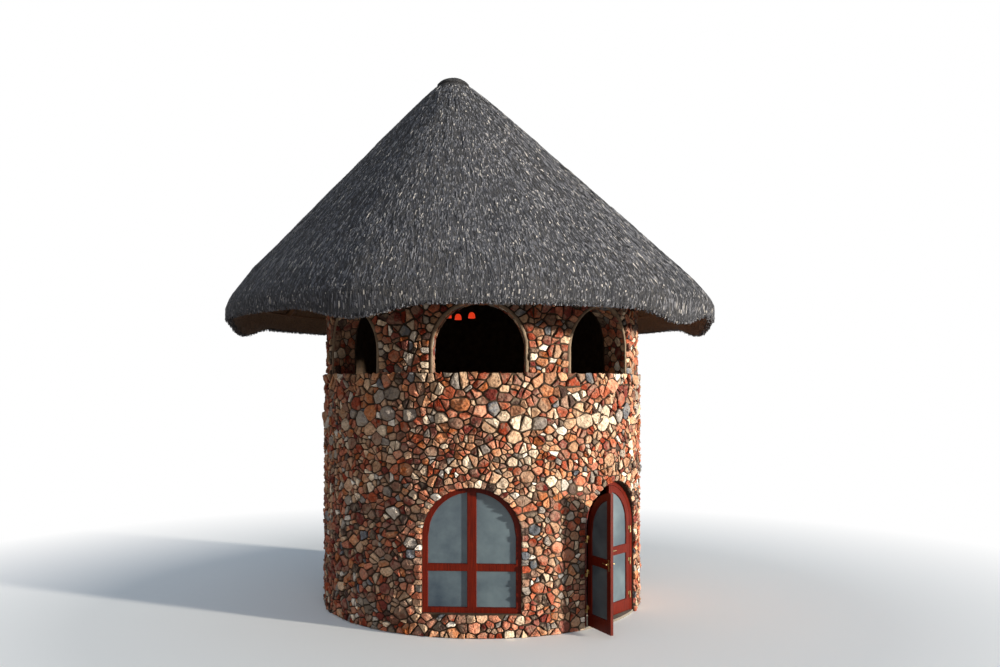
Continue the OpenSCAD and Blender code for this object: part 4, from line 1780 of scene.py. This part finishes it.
def seen_mask(tree):
    """1 for rays from the camera and for those off a shiny surface or through a clear one."""
    path = tree.nodes.new("ShaderNodeLightPath").outputs
    passed_on = reckon(tree, "MAXIMUM", path["Is Glossy Ray"], path["Is Transmission Ray"])
    return reckon(tree, "MAXIMUM", path["Is Camera Ray"], passed_on)


def stage_material(colour):
    """Pale floor that keeps the shadow near the hut and turns plain white far from it."""
    material, tree, shader = new_material("stage_floor", Roughness=0.9, Specular_IOR_Level=0.1)
    far = put(tree, "ShaderNodeVectorMath", {0: place(tree)}, operation="LENGTH").outputs["Value"]
    mask = span(tree, far, 6.5, 13.0)
    seen = seen_mask(tree)
    shown = blend_colour(tree, seen, (0.5, 0.43, 0.37), tuple(colour))
    tree.links.new(shown, shader.inputs["Base Color"])
    glow = put(tree, "ShaderNodeEmission", {"Color": (1, 1, 1), "Strength": 1.0})
    mixed = put(tree, "ShaderNodeMixShader", {"Fac": reckon(tree, "MULTIPLY", mask, seen)})
    tree.links.new(shader.outputs["BSDF"], mixed.inputs[1])
    tree.links.new(glow.outputs["Emission"], mixed.inputs[2])
    output = next(n for n in tree.nodes if n.type == "OUTPUT_MATERIAL")
    tree.links.new(mixed.outputs["Shader"], output.inputs["Surface"])
    return material


FLOOR_R, FLOOR_SIDES = 60, 64
# Colours of the sky at the horizon and overhead, and its strength
HORIZON, OVERHEAD, SKY_STRENGTH = (1.0, 0.88, 0.78), (0.56, 0.76, 1.0), 0.42
SENSOR_W, CAMERA_SHIFT = 36.0, (0.018, 0.0565)
# Name, azimuth, elevation, strength, angle and colour
LIGHTS = (
    ("key_light", 66.0, 6.5, 8.0, 3.5, (1.0, 0.95, 0.86)),
    ("fill_light", 5.0, 35.0, 0.5, 40.0, (0.95, 0.96, 1.0)),
)


class RONDAVEL_OT_stage(bpy.types.Operator):
    """Sets the floor, the light and the camera"""

    bl_idname = "rondavel.stage"
    bl_label = "Stage"

    def execute(self, context):
        sizes = context.scene.rondavel_stage
        scene = context.scene
        mesh = bpy.data.meshes.new("stage_floor")
        turns = [2 * math.pi * i / FLOOR_SIDES for i in range(FLOOR_SIDES)]
        rim = [(FLOOR_R * math.sin(t), FLOOR_R * math.cos(t), 0.0) for t in turns]
        mesh.from_pydata(rim, [], [tuple(reversed(range(FLOOR_SIDES)))])
        floor = bpy.data.objects.new("stage_floor", mesh)
        mesh.materials.append(stage_material(sizes.floor_colour))
        scene.collection.objects.link(floor)

        world = bpy.data.worlds.new("studio")
        world.use_nodes = True
        tree = world.node_tree
        tree.nodes.clear()
        up = put(
            tree,
            "ShaderNodeSeparateXYZ",
            {"Vector": tree.nodes.new("ShaderNodeTexCoord").outputs["Generated"]},
        ).outputs["Z"]
        sky = blend_colour(tree, span(tree, up, 0.0, 0.6), HORIZON, OVERHEAD)
        soft = put(tree, "ShaderNodeBackground", {"Color": sky, "Strength": SKY_STRENGTH})
        plain = put(tree, "ShaderNodeBackground", {"Color": (1, 1, 1), "Strength": 1.0})
        mixed = put(tree, "ShaderNodeMixShader", {"Fac": seen_mask(tree)})
        tree.links.new(soft.outputs["Background"], mixed.inputs[1])
        tree.links.new(plain.outputs["Background"], mixed.inputs[2])
        output = tree.nodes.new("ShaderNodeOutputWorld")
        tree.links.new(mixed.outputs["Shader"], output.inputs["Surface"])
        scene.world = world

        for name, azimuth, elevation, strength, angle, colour in LIGHTS:
            lamp = bpy.data.lights.new(name, "SUN")
            lamp.energy, lamp.angle, lamp.color = strength, math.radians(angle), colour
            held = bpy.data.objects.new(name, lamp)
            a, e = math.radians(azimuth), math.radians(elevation)
            held.rotation_euler = (math.pi / 2 - e, 0.0, a)
            held.location = (10 * math.sin(a), -10 * math.cos(a), 8)
            scene.collection.objects.link(held)

        view = bpy.data.cameras.new("camera")
        view.lens, view.sensor_width = sizes.lens, SENSOR_W
        view.shift_x, view.shift_y = CAMERA_SHIFT
        view.clip_end = 200
        camera = bpy.data.objects.new("camera", view)
        camera.location = sizes.camera_at
        camera.rotation_euler = (math.pi / 2, 0.0, 0.0)
        scene.collection.objects.link(camera)
        scene.camera = camera
        scene.view_settings.view_transform = "Standard"
        return {"FINISHED"}


STEPS = (
    RONDAVEL_OT_walls,
    RONDAVEL_OT_floors,
    RONDAVEL_OT_thatch,
    RONDAVEL_OT_roof_poles,
    RONDAVEL_OT_joinery,
    RONDAVEL_OT_lamp,
    RONDAVEL_OT_stage,
)


class RONDAVEL_PT_panel(bpy.types.Panel):
    """Lists the steps and sizes of the hut's finishes"""

    bl_label = OBJECT_NAME
    bl_idname = "RONDAVEL_PT_panel"
    bl_space_type = "VIEW_3D"
    bl_region_type = "UI"
    bl_category = "Rondavel"

    def draw(self, context):
        for step in STEPS:
            self.layout.operator(step.bl_idname)
        for settings in ("rondavel_walls", "rondavel_thatch", "rondavel_stage"):
            box = self.layout.box()
            held = getattr(context.scene, settings)
            for name in held.bl_rna.properties.keys():
                if name not in ("name", "rna_type"):
                    box.prop(held, name)


SETTINGS = {
    "rondavel_walls": RondavelWallSettings,
    "rondavel_thatch": RondavelThatchSettings,
    "rondavel_stage": RondavelStageSettings,
}
CLASSES = (*SETTINGS.values(), *STEPS, RONDAVEL_PT_panel)


def register():
    for made in CLASSES:
        bpy.utils.register_class(made)
    for name, settings in SETTINGS.items():
        setattr(bpy.types.Scene, name, PointerProperty(type=settings))


def unregister():
    for name in SETTINGS:
        delattr(bpy.types.Scene, name)
    for made in reversed(CLASSES):
        bpy.utils.unregister_class(made)


def main():
    register()
    for step in STEPS:
        family, name = step.bl_idname.split(".")
        getattr(getattr(bpy.ops, family), name)()


if __name__ == "__main__":
    main()
